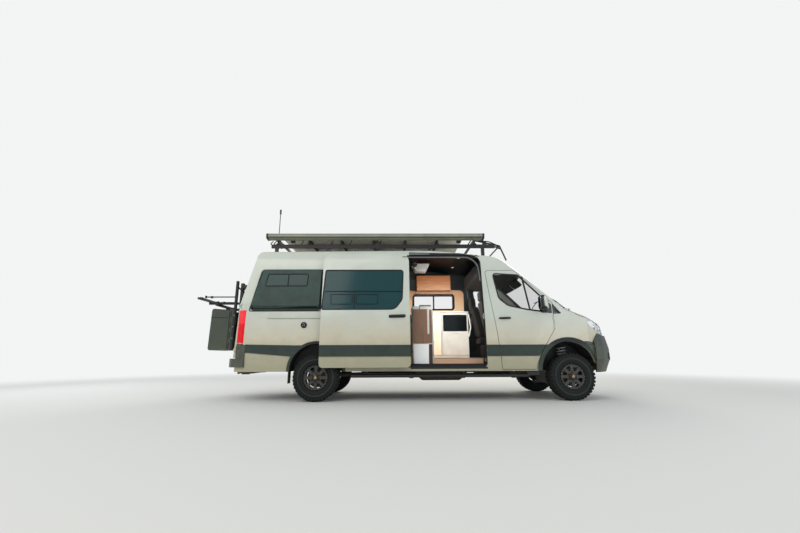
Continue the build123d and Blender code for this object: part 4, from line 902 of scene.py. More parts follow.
def on_side(sign, slid=False):
    """Lays x, z and a height above the skin onto the body's right (-1) or left (1) side."""
    shift = SLIDE if slid else Vector((0, 0, 0))

    def place(x, z, proud):
        return Vector((x, sign * (side_y(x, z) + proud), z)) + shift
    return place


FRONT_WINDOW = [(-1.245, 2.18), (-0.79, 2.15), (-0.262, 1.6), (-0.262, 1.462), (-0.69, 1.52), (-1.01, 1.59),
    (-1.165, 1.72)]
FRONT_WINDOW_RADII = [0.06, 0.07, 0.012, 0.012, 0.5, 0.16, 0.12]
SLIDER_WINDOW = [(-2.918, 2.226), (-1.54, 2.226), (-1.56, 1.69), (-1.69, 1.512), (-2.96, 1.512)]
SLIDER_WINDOW_RADII = [0.04, 0.06, 0.16, 0.16, 0.04]


def outline_at(points, radii, steps=6):
    """An outline given from the front axle, rounded, in the frame."""
    return rounded([(from_axle(x), z) for x, z in points], radii, steps)


class VAN_OT_window_trim(bpy.types.Operator):
    """Rubbers, bars and frames of the side windows."""
    bl_idname = "van.window_trim"
    bl_label = "Window trim"

    def execute(self, context):
        front = outline_at(FRONT_WINDOW, FRONT_WINDOW_RADII)
        nose = skin_of("front_body", "side_glass", "body_side_right", "body_side_left")
        for side, s in SIDES:
            lay = on_side(s)
            rubber = Shape().rim(front, context.scene.van_sizes.rubber, -0.016, lay, 0.0015, -0.006)
            rubber.build(f"front_window_rubber_{side}", "rubber", f"front_door_{side}", smooth=40)
            bar = outline_at([(-0.735, 2.13), (-0.7, 2.11), (-0.615, 1.505), (-0.645, 1.51)], 0.004, 5)
            Shape().sheet(bar, lay, 0.001, -0.005).build(f"quarter_bar_{side}", "rubber",
                f"front_door_{side}")
            sail = outline_at([(-0.405, 1.745), (-0.262, 1.612), (-0.262, 1.452), (-0.47, 1.482)], 0.006)
            Shape().sheet(sail, lay, 0.0035, -0.004).build(f"mirror_sail_{side}", "gloss",
                f"front_door_{side}", bevel=0.001)
            pane = outline_at([(-0.244, 1.64), (-0.09, 1.448), (-0.244, 1.444)], 0.004)
            Shape().patch(pane, laid_on(nose, "y", s), 0.003, -0.003, 0.02).build(
                f"quarter_triangle_{side}", "gloss", bevel=0.0005)
        lay = on_side(-1, True)
        slider = outline_at(SLIDER_WINDOW, SLIDER_WINDOW_RADII)
        seal = Shape().rim(slider, 0.004, -0.016, lay, 0.001, -0.006)
        seal.build("slider_window_frame", "rubber", smooth=40)
        bars = Shape().sheet(outline_at(rectangle(-2.925, 1.828, -1.555, 1.84), 0.003), lay, 0.0012, -0.005)
        bars.sheet(outline_at(rectangle(-2.4, 1.53, -2.39, 1.83), 0.002), lay, 0.001, -0.005)
        for low, high in (((-2.8, 1.61), (-2.43, 1.78)), ((-2.36, 1.61), (-1.99, 1.78))):
            hatch = outline_at([low, (high[0], low[1]), high, (low[0], high[1])], 0.02)
            bars.rim(hatch, 0.004, -0.004, lay, 0.0008, -0.004)
        bars.build("slider_window_bars", "black_frames_and_bevel_shade", smooth=40)
        return {"FINISHED"}


def skin_of(*names):
    """A search tree over the surfaces of some nodes."""
    points, faces = [], []
    for name in names:
        data = NODES[name].data
        start = len(points)
        points += [v.co.copy() for v in data.vertices]
        faces += [tuple(i + start for i in p.vertices) for p in data.polygons]
    return BVHTree.FromPolygons(points, faces)


OUTSIDE = 6.0    # clear of the van in every direction


def laid_on(tree, axis, sign):
    """Lays two numbers and a height above it onto a surface looked at from one end of an axis."""
    first, second, third = PRISM_AXES[axis]

    def place(u, v, proud):
        start = Vector((0.0, 0.0, 0.0))
        start[first], start[second], start[third] = u, v, sign * OUTSIDE
        ray = Vector((0.0, 0.0, 0.0))
        ray[third] = -sign
        hit, normal, _, _ = tree.ray_cast(start, ray)
        if hit is None:
            start[third] = sign * 1.0
            hit, normal, _, _ = tree.find_nearest(start)
        if normal[third] * sign < 0:
            normal = -normal
        return hit + normal * proud
    return place


BEND_STEPS = 5


def bent(points, radius):
    """An open path with its inner corners rounded."""
    path = [Vector(points[0])]
    for i in range(1, len(points) - 1):
        here = Vector(points[i])
        before, after = Vector(points[i - 1]) - here, Vector(points[i + 1]) - here
        run = min(radius, before.length * 0.45, after.length * 0.45)
        start, end = here + before.normalized() * run, here + after.normalized() * run
        for k in range(BEND_STEPS + 1):
            t = k / BEND_STEPS
            path.append((1 - t) ** 2 * start + 2 * t * (1 - t) * here + t * t * end)
    path.append(Vector(points[-1]))
    return path


class VAN_OT_pods(bpy.types.Operator):
    """The rear quarter windows: gaskets and bevels of the moulded surrounds, the bevels near-black as
    painted shade, and the split panes in them.
    """
    bl_idname = "van.pods"
    bl_label = "Pods"

    def execute(self, context):
        tree = skin_of("window_pods", "side_glass")
        for side, s in SIDES:
            lay = laid_on(tree, "y", s)
            pane = outline_at([(-5.265, 1.945), (-5.225, 2.15), (-4.53, 2.15), (-4.545, 1.945)], 0.025)
            Shape().patch(pane, lay, 0.002, -0.003, 0.06).build(f"pod_pane_{side}", "pod_glass")
            ring = Shape().rim(pane, 0.012, -0.003, lay, 0.004, -0.004)
            ring.sheet(outline_at([(-4.885, 1.95), (-4.868, 1.95), (-4.862, 2.148), (-4.879, 2.148)], 0.002),
                lay, 0.004, -0.003)
            ring.build(f"pod_window_frame_{side}", "black_frames_and_bevel_shade", smooth=40)
            # The lower and rear bevels are near-black patches: painted shade on faces turned away from the
            # light.
            low = outline_at([(-5.51, 1.518), (-5.455, 1.578), (-4.345, 1.578), (-4.29, 1.518)], 0.006)
            Shape().patch(low, lay, 0.0015, -0.003, 0.03).build(f"pod_bevel_shade_{side}", "black_frames_and_bevel_shade")
            back = outline_at([(-5.512, 1.53), (-5.372, 2.19), (-5.335, 2.19), (-5.462, 1.585)], 0.006)
            Shape().patch(back, lay, 0.0012, -0.003, 0.03).build(f"pod_rear_bevel_{side}", "black_frames_and_bevel_shade")
            rim = outline_at([(-5.53, 1.503), (-5.373, 2.252), (-4.283, 2.252), (-4.292, 1.503)],
                [0.03, 0.07, 0.03, 0.03])
            gasket = Shape().rim(rim, 0.006, -0.01, on_side(s), 0.006, -0.001)
            gasket.build(f"pod_gasket_{side}", "rubber", smooth=40)
        return {"FINISHED"}


TAIL_LAMP = [(-5.704, 0.962), (-5.706, 1.515), (-5.655, 1.515), (-5.655, 0.962)]


class VAN_OT_lamps(bpy.types.Operator):
    """Head lamp insides and tips, fog lamps, and the tail lamps' wings and dividers."""
    bl_idname = "van.lamps"
    bl_label = "Lamps"

    def execute(self, context):
        tree = skin_of("headlamps")
        lens = [(0.385, 1.292), (0.48, 1.305), (0.88, 1.262), (0.87, 1.15), (0.61, 1.085), (0.505, 1.15)]
        for side, s in SIDES:
            lay = laid_on(tree, "y", s)
            inner = grown(rounded([(from_axle(x), z) for x,
                z in lens[:2] + [(0.755, 1.268), (0.745, 1.135)] + lens[4:]],
                [0.015, 0.06, 0.03, 0.03, 0.03, 0.08]), -0.006)
            housing = Shape().patch(inner, lay, -0.018, -0.026, 0.03)
            housing.build(f"lamp_housing_{side}", "chrome", smooth=30)
            for number, (x, z, r) in enumerate(((0.535, 1.215, 0.034), (0.62, 1.18, 0.038))):
                spot = lay(from_axle(x), z, -0.028)
                out = (lay(from_axle(x), z, 0.0) - spot).normalized()
                out = (out + Vector((0.9, 0, 0))).normalized()
                bowl = Shape().lathe([(r * 0.5, -0.004), (r, 0.012), (r * 1.04, 0.012), (r * 0.56, -0.006)],
                    spot, out, 32, True)
                bowl.build(f"lamp_bowl_{number}_{side}", "chrome")
                ball = [(r * 0.56 * math.cos(a * math.pi / 14), r * 0.5 * math.sin(a * math.pi / 14))
                    for a in range(8)]
                Shape().lathe([(r * 0.56, -0.004)] + ball, spot, out,
                    24).build(f"lamp_projector_{number}_{side}", "projector", smooth=60)
            top = [(0.4, 1.283), (0.49, 1.291), (0.6, 1.272), (0.7, 1.24)]
            path = bent([lay(from_axle(x), z, -0.016) for x, z in top], 0.04)
            Shape().tube(path, 0.006, 8).build(f"lamp_light_guide_{side}", "guide")
            amber = [(0.445, 1.232), (0.475, 1.195), (0.52, 1.16)]
            path = bent([lay(from_axle(x), z, -0.016) for x, z in amber], 0.04)
            Shape().tube(path, 0.01, 8).build(f"lamp_indicator_{side}", "amber")
            rim = outline_at(lens, [0.015, 0.06, 0.03, 0.03, 0.03, 0.08])
            rim = [(min(x, from_axle(0.765)), z) for x, z in rim]
            gasket = Shape().rim(rim, -0.001, -0.005, lay, 0.0015, -0.004)
            gasket.build(f"lamp_gasket_{side}", "rubber")
            tip = outline_at([(0.345, 1.304), (0.4, 1.312), (0.47, 1.312), (0.46, 1.2), (0.425, 1.215),
                (0.37, 1.268)], 0.01)
            Shape().patch(tip, laid_on(skin_of("front_body", "headlamps"), "y", s), 0.004, -0.003,
                0.02).build(f"lamp_tip_{side}", "frosted", smooth=40)
        ahead = laid_on(skin_of("front_bumper"), "x", 1)
        for side, s in SIDES:
            spot = ahead(s * 0.7, 0.72, 0.0)
            out = Vector((1.0, s * 0.55, 0.0)).normalized()
            ring = [(0.048, -0.03), (0.05, 0.01), (0.058, 0.01), (0.064, 0.002), (0.064, -0.03)]
            Shape().lathe(ring, spot, out, 40, True).build(f"fog_lamp_ring_{side}", "gloss")
            glass = [(0.048, -0.012), (0.04, 0.0), (0.022, 0.005), (0.0, 0.007)]
            lens = Shape().lathe([(0.048, -0.02)] + glass, spot, out, 40)
            lens.build(f"fog_lamp_glass_{side}", "frosted", smooth=60)
        for side, s in SIDES:
            lay = laid_on(skin_of("tail_lamps"), "y", s)
            wing = outline_at(TAIL_LAMP, [0.02, 0.02, 0.01, 0.01])
            Shape().patch(wing, laid_on(skin_of("tail_lamps", f"body_side_{side}"), "y", s), 0.004, -0.003,
                0.02).build(f"tail_lamp_wing_{side}", "red", bevel=0.001, smooth=40)
            for number, z in enumerate((1.285, 1.12)):
                strip = outline_at(rectangle(-5.7, z, -5.575, z + 0.012), 0.001)
                Shape().sheet(strip, lay, 0.0012, -0.003).build(f"tail_lamp_divider_{number}_{side}",
                    "gloss")
        return {"FINISHED"}


class VAN_OT_front(bpy.types.Operator):
    """The nose: wipers, grille surround, bars in the lower mouth, bumper cheeks and bonnet gaps."""
    bl_idname = "van.front"
    bl_label = "Front"

    def execute(self, context):
        screen = laid_on(skin_of("windscreen", "roof_panel", "front_body"), "z", 1)
        for number, (y, sweep) in enumerate(((0.1, 0.62), (-0.62, 0.56))):
            pivot = screen(from_axle(0.12), y, 0.012)
            foot = screen(from_axle(-0.02), y + 0.02, 0.02)
            mid = screen(from_axle(-0.05), y + sweep * 0.5, 0.022)
            arm = Shape().tube(bent([pivot, foot, mid], 0.02), 0.008, 8)
            arm.lathe([(0.018, -0.02), (0.018, 0.004), (0.012, 0.012), (0.0, 0.013)], pivot, (0.3, 0, 1), 20)
            arm.build(f"wiper_arm_{number}", "black")
            low = [screen(from_axle(-0.03), y + sweep * 0.5 + d, 0.01)
                for d in (-0.33, -0.2, 0.0, 0.2, 0.33)]
            Shape().tube(low, 0.007, 8).build(f"wiper_blade_{number}", "rubber")
        grille = laid_on(skin_of("grille"), "x", 1)
        back = rounded([(-0.53, 1.195), (0.53, 1.195), (0.49, 1.005), (-0.49, 1.005)], 0.03)
        Shape().sheet(back, grille, -0.045, -0.05).build("grille_backing", "black")
        ring = rounded([(-0.554, 1.21), (0.554, 1.21), (0.514, 0.99), (-0.514, 0.99)], 0.03)
        Shape().band(ring, grown(ring, -0.01), grille, 0.003, -0.006).build("grille_surround", "gloss")
        low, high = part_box("front_bumper")
        slat = Shape().prism(rounded([(high.x - 0.085, -0.007), (high.x - 0.03, -0.005),
            (high.x - 0.03, 0.005), (high.x - 0.085, 0.007)], 0.003), "y", -0.395, 0.395)
        repeated(slat, "bumper_slats", "gloss", "root", context.scene.van_sizes.mouth_slats,
            step=(0, 0, 0.043), centre=(0, 0, 0.64), smooth=30)
        nose = skin_of("front_body", "cladding", "front_bumper")
        over = skin_of("front_body", "bonnet")
        cheek = [(0.262, 0.975), (0.33, 0.972), (0.415, 0.958), (0.53, 1.112), (0.605, 1.088), (0.64, 1.07),
            (0.64, 0.9), (0.47, 0.88), (0.452, 0.48), (0.438, 0.48), (0.446, 0.56), (0.43, 0.69),
            (0.39, 0.8), (0.33, 0.885), (0.255, 0.948)]
        for side, s in SIDES:
            Shape().patch([(from_axle(x), z) for x, z in cheek], laid_on(nose, "y", s), 0.004, -0.004,
                0.03).build(f"bumper_cheek_{side}", "bumper", smooth=40)
            edge = bent([(0.075, 1.548), (0.105, 1.5), (0.17, 1.432), (0.32, 1.38), (0.46, 1.34),
                (0.56, 1.322)], 0.08)
            lay = laid_on(over, "y", s)
            Shape().tube([lay(from_axle(p.x), p.y, 0.0) for p in edge], 0.0045, 8).build(
                f"bonnet_gap_{side}", "rubber")
        backing = Shape().box((high.x - 0.1, -0.42, 0.605), (high.x - 0.092, 0.42, 0.805))
        backing.build("bumper_mouth_backing", "black", bevel=0.002)
        return {"FINISHED"}


class VAN_OT_sliding_door_fittings(bpy.types.Operator):
    """The sliding door's handle, and the track cover, seals, sill plate and striker of its opening."""
    bl_idname = "van.sliding_door_fittings"
    bl_label = "Sliding door fittings"

    def execute(self, context):
        slid = on_side(-1, True)
        handle = Shape()
        path = [(-1.782, 1.396, 0.006), (-1.755, 1.398, 0.036), (-1.565, 1.404, 0.04),
            (-1.532, 1.402, 0.006)]
        handle.tube(bent([slid(from_axle(x), z, d) for x, z, d in path], 0.02), 0.013, 12)
        handle.build("slider_handle", "black", smooth=50)
        cup = outline_at([(-1.8, 1.368), (-1.51, 1.376), (-1.51, 1.432), (-1.8, 1.424)], 0.026)
        Shape().sheet(cup, slid, 0.003, -0.002).build("slider_handle_cup", "black", bevel=0.001)
        opening = outline_at([(-2.964, 0.545), (-2.964, 2.54), (-1.44, 2.54), (-1.425, 0.545)],
            [0.07, 0.15, 0.16, 0.07])

        def inward(x, z, depth):
            y = side_y(x, z) if z < 2.3 else side_y(x, 2.3) - (z - 2.3) * 0.28
            return Vector((x, -(y - 0.012) - depth, z))
        seal = Shape().rim(opening, 0.002, -0.016, inward, 0.002, -0.016)
        seal.build("door_opening_seal", "rubber", smooth=50)
        skin = laid_on(skin_of("body_side_right", "roof_panel"), "y", -1)
        strip = outline_at([(-2.735, 2.522), (-2.735, 2.6), (-1.462, 2.6), (-1.45, 2.5), (-1.545, 2.534)],
            0.004)
        Shape().patch(strip, skin, 0.003, -0.004, 0.04).build("track_strip", "rubber", smooth=40)
        cover = outline_at([(-2.73, 2.547), (-2.73, 2.584), (-1.56, 2.584), (-1.56, 2.556)], 0.004)
        Shape().patch(cover, skin, 0.006, 0.001, 0.04).build("track_cover", "track", smooth=40)
        rail = bent(points_at([(-2.9, -0.845, 2.5), (-1.63, -0.845, 2.5), (-1.485, -0.87, 2.36),
            (-1.462, -0.905, 2.05)]), 0.1)
        Shape().tube(rail, 0.013, 10).build("inner_seal_roll", "track", smooth=50)
        sill = outline_at([(-2.73, 0.522), (-2.73, 0.556), (-1.425, 0.556), (-1.425, 0.522)], 0.012)
        Shape().sheet(sill, on_side(-1), 0.003, -0.003).build("sill_plate", "black", bevel=0.001)
        step = Shape().box_at((-2.72, -0.962, 0.54), (-1.435, -0.89, 0.592))
        step.box_at((-2.72, -0.89, 0.592), (-1.435, -0.86, 0.606))
        step.build("step_well_edge", "rubber", bevel=0.006)
        latch = Shape().box_at((-1.452, -0.985, 1.36), (-1.436, -0.945, 1.46))
        latch.box_at((-1.468, -0.972, 1.39), (-1.45, -0.958, 1.43))
        latch.build("door_striker", "steel", bevel=0.003)
        return {"FINISHED"}


THIRD_OF_A_TURN = 2.094


class VAN_OT_side_fittings(bpy.types.Operator):
    """The hook-up inlet on the right side and the fuel flap's seam on the left."""
    bl_idname = "van.side_fittings"
    bl_label = "Side fittings"

    def execute(self, context):
        lay = on_side(-1)
        x, z = from_axle(-4.56), 1.26
        spot = lay(x, z, 0.0)
        out = (lay(x, z, 0.01) - spot).normalized()
        inlet = Shape().lathe([(0.052, -0.004), (0.052, 0.01), (0.047, 0.014), (0.04, 0.014), (0.038, 0.006),
            (0.0, 0.006)], spot, out, 40)
        inlet.build("power_inlet", "black", smooth=40)
        pin = Shape().lathe([(0.007, 0.0), (0.007, 0.014), (0.0, 0.015)], (0.0, 0.0, 0.018), out, 12)
        repeated(pin, "power_inlet_pins", "steel", "root", 3, turn=(0, THIRD_OF_A_TURN, 0), centre=spot,
            smooth=30)
        cover = Shape().lathe([(0.0, 0.011), (0.03, 0.0145), (0.034, 0.0125), (0.034, 0.006)], spot, out, 32)
        cover.build("power_inlet_cover", "gloss")
        flap = outline_at([(-1.59, 1.0), (-1.42, 1.0), (-1.43, 1.19), (-1.6, 1.19)], 0.03)
        seams = Shape().rim(flap, 0.002, -0.002, on_side(1), 0.0012, -0.001)
        seams.build("fuel_flap_seam", "rubber")
        return {"FINISHED"}


MIRROR_MIDDLE = (-0.435, 1.628)
# Distance from the van's middle, and the limits of the arm's section there
MIRROR_ARM = (
    (0.985, (-0.44, 1.462, -0.34, 1.56)), (1.01, (-0.43, 1.468, -0.345, 1.545)),
    (1.045, (-0.44, 1.49, -0.365, 1.54)), (1.075, (-0.455, 1.505, -0.385, 1.56)),
)


def mirror_shell(outline, radii, sections, s):
    """A mirror's shell: one outline at several distances out, shrunk about its middle and moved back."""
    rings = []
    for y, shrink, back in sections:
        ring = []
        for x, z in rounded(outline, radii, 6):
            along = MIRROR_MIDDLE[0] + (x - MIRROR_MIDDLE[0]) * shrink - back
            ring.append((from_axle(along), s * y, MIRROR_MIDDLE[1] + (z - MIRROR_MIDDLE[1]) * shrink))
        rings.append(ring)
    return Shape().loops(rings)


class VAN_OT_door_fittings(bpy.types.Operator):
    """Mirrors, pull handles, rub rails and post linings of the front doors."""
    bl_idname = "van.door_fittings"
    bl_label = "Door fittings"

    def execute(self, context):
        for side, s in SIDES:
            body = f"front_door_{side}"
            lay = on_side(s)
            rail = outline_at([(-1.208, 0.73), (-1.208, 0.918), (-0.413, 0.918), (-0.54, 0.73)], 0.003)
            Shape().sheet(rail, lay, 0.01, -0.002).build(f"door_rub_rail_{side}", "slate", body,
                replaces=(f"door_trim_{side}",), bevel=0.003)
            head = mirror_shell(
                [(-0.492, 1.498), (-0.352, 1.512), (-0.372, 1.735), (-0.4, 1.757), (-0.485, 1.757)],
                [0.03, 0.04, 0.05, 0.03, 0.03],
                ((1.03, 0.8, 0.018), (1.045, 0.96, 0.004), (1.085, 1.0, 0.0), (1.13, 0.98, 0.002),
                 (1.158, 0.88, 0.01), (1.171, 0.62, 0.022)), s)
            head.build(f"mirror_head_{side}", "gloss", body, smooth=60)
            cowl = mirror_shell(
                [(-0.405, 1.52), (-0.352, 1.515), (-0.372, 1.735), (-0.402, 1.755), (-0.418, 1.755)],
                [0.01, 0.04, 0.05, 0.02, 0.01],
                ((1.034, 0.84, 0.012), (1.048, 0.985, 0.0), (1.085, 1.02, -0.003), (1.13, 1.0, 0.0),
                 (1.158, 0.9, 0.008), (1.1715, 0.64, 0.02)), s)
            cowl.build(f"mirror_cowl_{side}", "side_paint", body, smooth=60)
            arm = []
            for y, limits in MIRROR_ARM:
                arm.append([(from_axle(x), s * y, z) for x, z in rounded(rectangle(*limits), 0.02, 4)])
            Shape().loops(arm).build(f"mirror_arm_{side}", "gloss", body, smooth=60)
            glass = rounded([(s * 1.055, 1.525), (s * 1.155, 1.53), (s * 1.155, 1.735), (s * 1.055, 1.735)],
                0.03)
            Shape().prism(glass, "x", from_axle(-0.4985), from_axle(-0.4905)).build(f"mirror_glass_{side}",
                "mirror", body, bevel=0.001)
            lamp = rounded(rectangle(s * 1.09, 1.64, s * 1.15, 1.652), 0.004)
            Shape().prism(lamp, "x", from_axle(-0.372), from_axle(-0.357)).build(f"mirror_indicator_{side}",
                "amber", body, bevel=0.001)
            grip = []
            for t in range(13):
                u = -1 + t / 6
                swell = math.sqrt(max(1 - u * u, 0.02))
                x, z, r = -1.085 + 0.102 * u, 1.372 + 0.004 * u, 0.0155 * swell ** 0.7
                spot = lay(from_axle(x), z, 0.01 + 0.02 * swell)
                grip.append([spot + Vector((0, s * r * 0.8 * math.cos(a * math.pi / 6),
                    r * math.sin(a * math.pi / 6))) for a in range(12)])
            Shape().loops(grip).build(f"door_handle_{side}", "black", body, smooth=60)
            cup = outline_at([(-1.19, 1.352), (-0.98, 1.356), (-0.98, 1.392), (-1.19, 1.386)], 0.017)
            Shape().sheet(cup, lay, 0.0035, -0.002).build(f"handle_cup_{side}", "black", body, bevel=0.001)
            for number, x in enumerate((-1.165, -1.005)):
                foot = Shape().lathe([(0.012, 0.0), (0.01, 0.02), (0.0, 0.022)],
                    lay(from_axle(x), 1.372, 0.0), (0, s, 0), 12)
                foot.build(f"handle_foot_{number}_{side}", "black", body)
            post = Shape().sheet(outline_at([(-1.3, 2.23), (-1.262, 2.23), (-1.215, 1.7), (-1.25, 1.64)],
                0.006), lay, -0.06, -0.064)
            post.build(f"door_post_lining_{side}", "dash", body)
        return {"FINISHED"}


def laid_inside(tree, axis, sign):
    """Lays two numbers and a height above it onto a surface looked at from the van's middle."""
    first, second, third = PRISM_AXES[axis]

    def place(u, v, proud):
        start = Vector((0.0, 0.0, 0.0))
        start[first], start[second] = u, v
        ray = Vector((0.0, 0.0, 0.0))
        ray[third] = sign
        if axis == "x":
            start[third] = from_axle(-5.0)
        hit, normal, _, _ = tree.ray_cast(start, ray)
        if hit is None:
            hit, normal, _, _ = tree.find_nearest(start + ray * 0.9)
        if normal[third] * sign > 0:
            normal = -normal
        return hit + normal * proud
    return place


class VAN_OT_door_cards(bpy.types.Operator):
    """Inner cards of the four doors, with arm rests, pockets and pull handles."""
    bl_idname = "van.door_cards"
    bl_label = "Door cards"

    def execute(self, context):
        for side, s in SIDES:
            door = f"front_door_{side}"
            lay = laid_inside(skin_of(door), "y", s)
            card = outline_at([(-1.32, 0.64), (-1.285, 1.44), (-0.56, 1.44), (-0.5, 1.3), (-0.52, 1.0),
                (-0.62, 0.86), (-0.64, 0.64)], [0.05, 0.05, 0.05, 0.08, 0.1, 0.1, 0.06])
            Shape().patch(card, lay, 0.01, -0.002, 0.06).build(f"door_card_{side}", "dash", door,
                bevel=0.003)
            panel = outline_at([(-1.245, 1.13), (-1.23, 1.38), (-0.64, 1.38), (-0.62, 1.13)], 0.04)
            Shape().patch(panel, lay, 0.016, 0.008, 0.06).build(f"door_card_pad_{side}", "headliner", door,
                bevel=0.003)
            base = lay(from_axle(-1.05), 1.06, 0.0).y - s * 0.009
            rest = Shape().prism(outline_at([(-1.27, 1.03), (-0.94, 1.03), (-0.925, 1.075), (-1.27, 1.09)],
                0.018, 5), "y", *sorted((base, base - s * 0.04)))
            rest.build(f"door_arm_rest_{side}", "dash", door, bevel=0.008)
            pocket = Shape().prism(outline_at([(-1.26, 0.69), (-0.76, 0.69), (-0.74, 0.82), (-1.25, 0.86)],
                0.03, 5), "y", *sorted((base, base - s * 0.03)))
            pocket.build(f"door_pocket_{side}", "black", door, bevel=0.006)
            lever = Shape().tube(bent(points_at([(-0.8, base, 1.255), (-0.8, base - s * 0.03, 1.255),
                (-0.69, base - s * 0.03, 1.265), (-0.69, base, 1.265)]), 0.012), 0.007, 8)
            lever.build(f"door_lever_{side}", "steel", door, smooth=50)
            rear = f"rear_door_{side}"
            inner = laid_inside(skin_of(rear), "x", -1)
            low = rounded([(s * 0.12, 0.78), (s * 0.8, 0.78), (s * 0.82, 1.4), (s * 0.12, 1.4)], 0.06)
            Shape().patch(low, inner, 0.008, -0.002, 0.06).build(f"rear_door_card_{side}", "dash", rear,
                bevel=0.003)
        return {"FINISHED"}


class VAN_OT_rack_fittings(bpy.types.Operator):
    """Clamps, struts and stays, the lamp pod, the louvres and the solar panels' frames on the roof."""
    bl_idname = "van.rack_fittings"
    bl_label = "Rack fittings"

    def execute(self, context):
        for side, s in SIDES:
            struts = Shape()
            for x in (-4.75, -4.2, -3.85, -3.3, -2.85, -1.62):
                struts.tube(points_at([(x, s * 0.752, 2.768), (x + 0.05, s * 0.785, 2.846)]), 0.01, 8)
            for x in (-5.28, -5.22):
                struts.tube(bent(points_at([(x, s * 0.745, 2.842), (x - 0.05, s * 0.745, 2.79),
                    (x + 0.11, s * 0.735, 2.7)]), 0.02), 0.009, 8)
            struts.tube(bent(points_at([(-1.42, s * 0.745, 2.85), (-1.22, s * 0.74, 2.835),
                (-1.02, s * 0.7, 2.755), (-1.12, s * 0.72, 2.735)]), 0.05), 0.011, 8)
            struts.build(f"rack_struts_{side}", "coat")
            clamp = Shape().prism(rounded(rectangle(-0.035, -0.004, 0.035, 0.02), 0.004), "y",
                *sorted((s * 0.725, s * 0.775)))
            for number, x in enumerate((-5.18, -4.6, -4.0, -3.4, -2.8, -2.2, -1.5)):
                piece = Shape().add([(px + from_axle(x), py, pz + 2.772) for px, py, pz in clamp.points],
                    clamp.faces)
                piece.build(f"rack_clamp_{number}_{side}", "coat", bevel=0.002)
        fin = Shape().prism(rounded([(-0.018, -0.026), (-0.006, -0.026), (0.022, 0.018), (0.01, 0.018)],
            0.003), "y", -0.775, -0.771)
        repeated(fin, "rack_louvres", "coat", "root", context.scene.van_sizes.louvres, step=(0.052, 0, 0),
            centre=(from_axle(-3.72), -0.012, 2.684), smooth=30)
        spot = Vector((from_axle(-1.3), -0.7, 2.8))
        pod = Shape().lathe([(0.0, -0.03), (0.03, -0.026), (0.04, -0.008), (0.042, 0.018), (0.038, 0.02),
            (0.0, 0.016)], spot, (0.25, -1.0, -0.1), 28)
        pod.build("rack_lamp_pod", "gloss", smooth=40)
        for number, (low, high) in enumerate(((-5.08, -3.42), (-3.38, -1.72))):
            edge = outline_at(rectangle(low, -0.7, high, 0.7), 0.004, 5)

            width = context.scene.van_sizes.panel_rim
            rim = Shape().rim(edge, 0.0015, -width, lambda x, y, z: Vector((x, y, z)), 2.9095, 2.8735)
            rim.build(f"panel_frame_{number}", "steel", smooth=30)
        return {"FINISHED"}


class VAN_OT_awning(bpy.types.Operator):
    """The awning case's end caps, dark edge, lead rail and brackets."""
    bl_idname = "van.awning"
    bl_label = "Awning"

    def execute(self, context):
        low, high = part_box("awning")
        section = [(-0.925, 2.85), (-0.925, 2.94), (-0.795, 2.94), (-0.795, 2.835)]
        shape = rounded(section, [0.045, 0.015, 0.008, 0.012])
        for number, (start, end) in enumerate(((low.x - 0.01, low.x + 0.028),
                (high.x - 0.028, high.x + 0.01))):
            cap = Shape().prism(grown(shape, 0.0025), "x", start, end)
            cap.build(f"awning_cap_{number}", "black", bevel=0.004)
        ends = (low.x + 0.03, high.x - 0.03)
        skirt = Shape().prism(rounded(rectangle(-0.9262, 2.8515, -0.9215, 2.868), 0.002), "x", *ends)
        skirt.build("awning_dark_edge", "awning_edge")
        lip = Shape().prism(rounded(rectangle(-0.9285, 2.868, -0.921, 2.876), 0.002), "x", *ends)
        lip.prism(rounded(rectangle(-0.9275, 2.922, -0.921, 2.9275), 0.002), "x", *ends)
        lip.build("awning_lead_rail", "black")
        for number, x in enumerate((-4.9, -3.35, -1.8)):
            bracket = Shape().box_at((x - 0.04, -0.8, 2.8), (x + 0.04, -0.752, 2.842))
            bracket.build(f"awning_bracket_{number}", "coat", bevel=0.003)
        return {"FINISHED"}


def upright(y):
    """Lays x, z and a depth onto an upright plane along the van that faces its right side."""
    def place(x, z, depth):
        return Vector((x, y - depth, z))
    return place


# Name, x and z limits from the front axle with the corner radius, plane, thickness, finish and bevel
GALLEY_FRONTS = (
    ("galley_front", (-2.0, -1.462, 0.752, 1.232), 0.44, 0.018, "laminate", 0.002),
    ("galley_tall_front", (-2.2, -2.04, 0.752, 1.625), 0.44, 0.016, "cream", 0.002),
    ("galley_divider", (-2.03, -2.006, 0.752, 1.625), 0.44, 0.022, "laminate", 0.001),
    ("oven_side_0", (-2.002, -1.99, 1.232, 1.622), 0.44, 0.018, "laminate", 0.001),
    ("oven_side_1", (-1.486, -1.466, 1.232, 1.622), 0.44, 0.018, "laminate", 0.001),
    ("oven_glass", (-1.986, -1.49, 1.24, 1.572, 0.006), 0.422, 0.006, "glass_front", 0.001),
    ("near_cabinet_front", (-2.674, -2.418, 0.952, 1.548, 0.01), -0.76, 0.014, "walnut", 0.003),
    ("near_cabinet_stile", (-2.418, -2.384, 1.12, 1.606), -0.76, 0.013, "laminate", 0.001),
    ("near_chest_side", (-2.4, -2.339, 0.59, 0.936, 0.003), -0.8, 0.004, "dark_wood", 0.0),
    ("overhead_front", (-2.519, -1.781, 2.141, 2.464), 0.6, 0.004, "wood", 0.002),
)
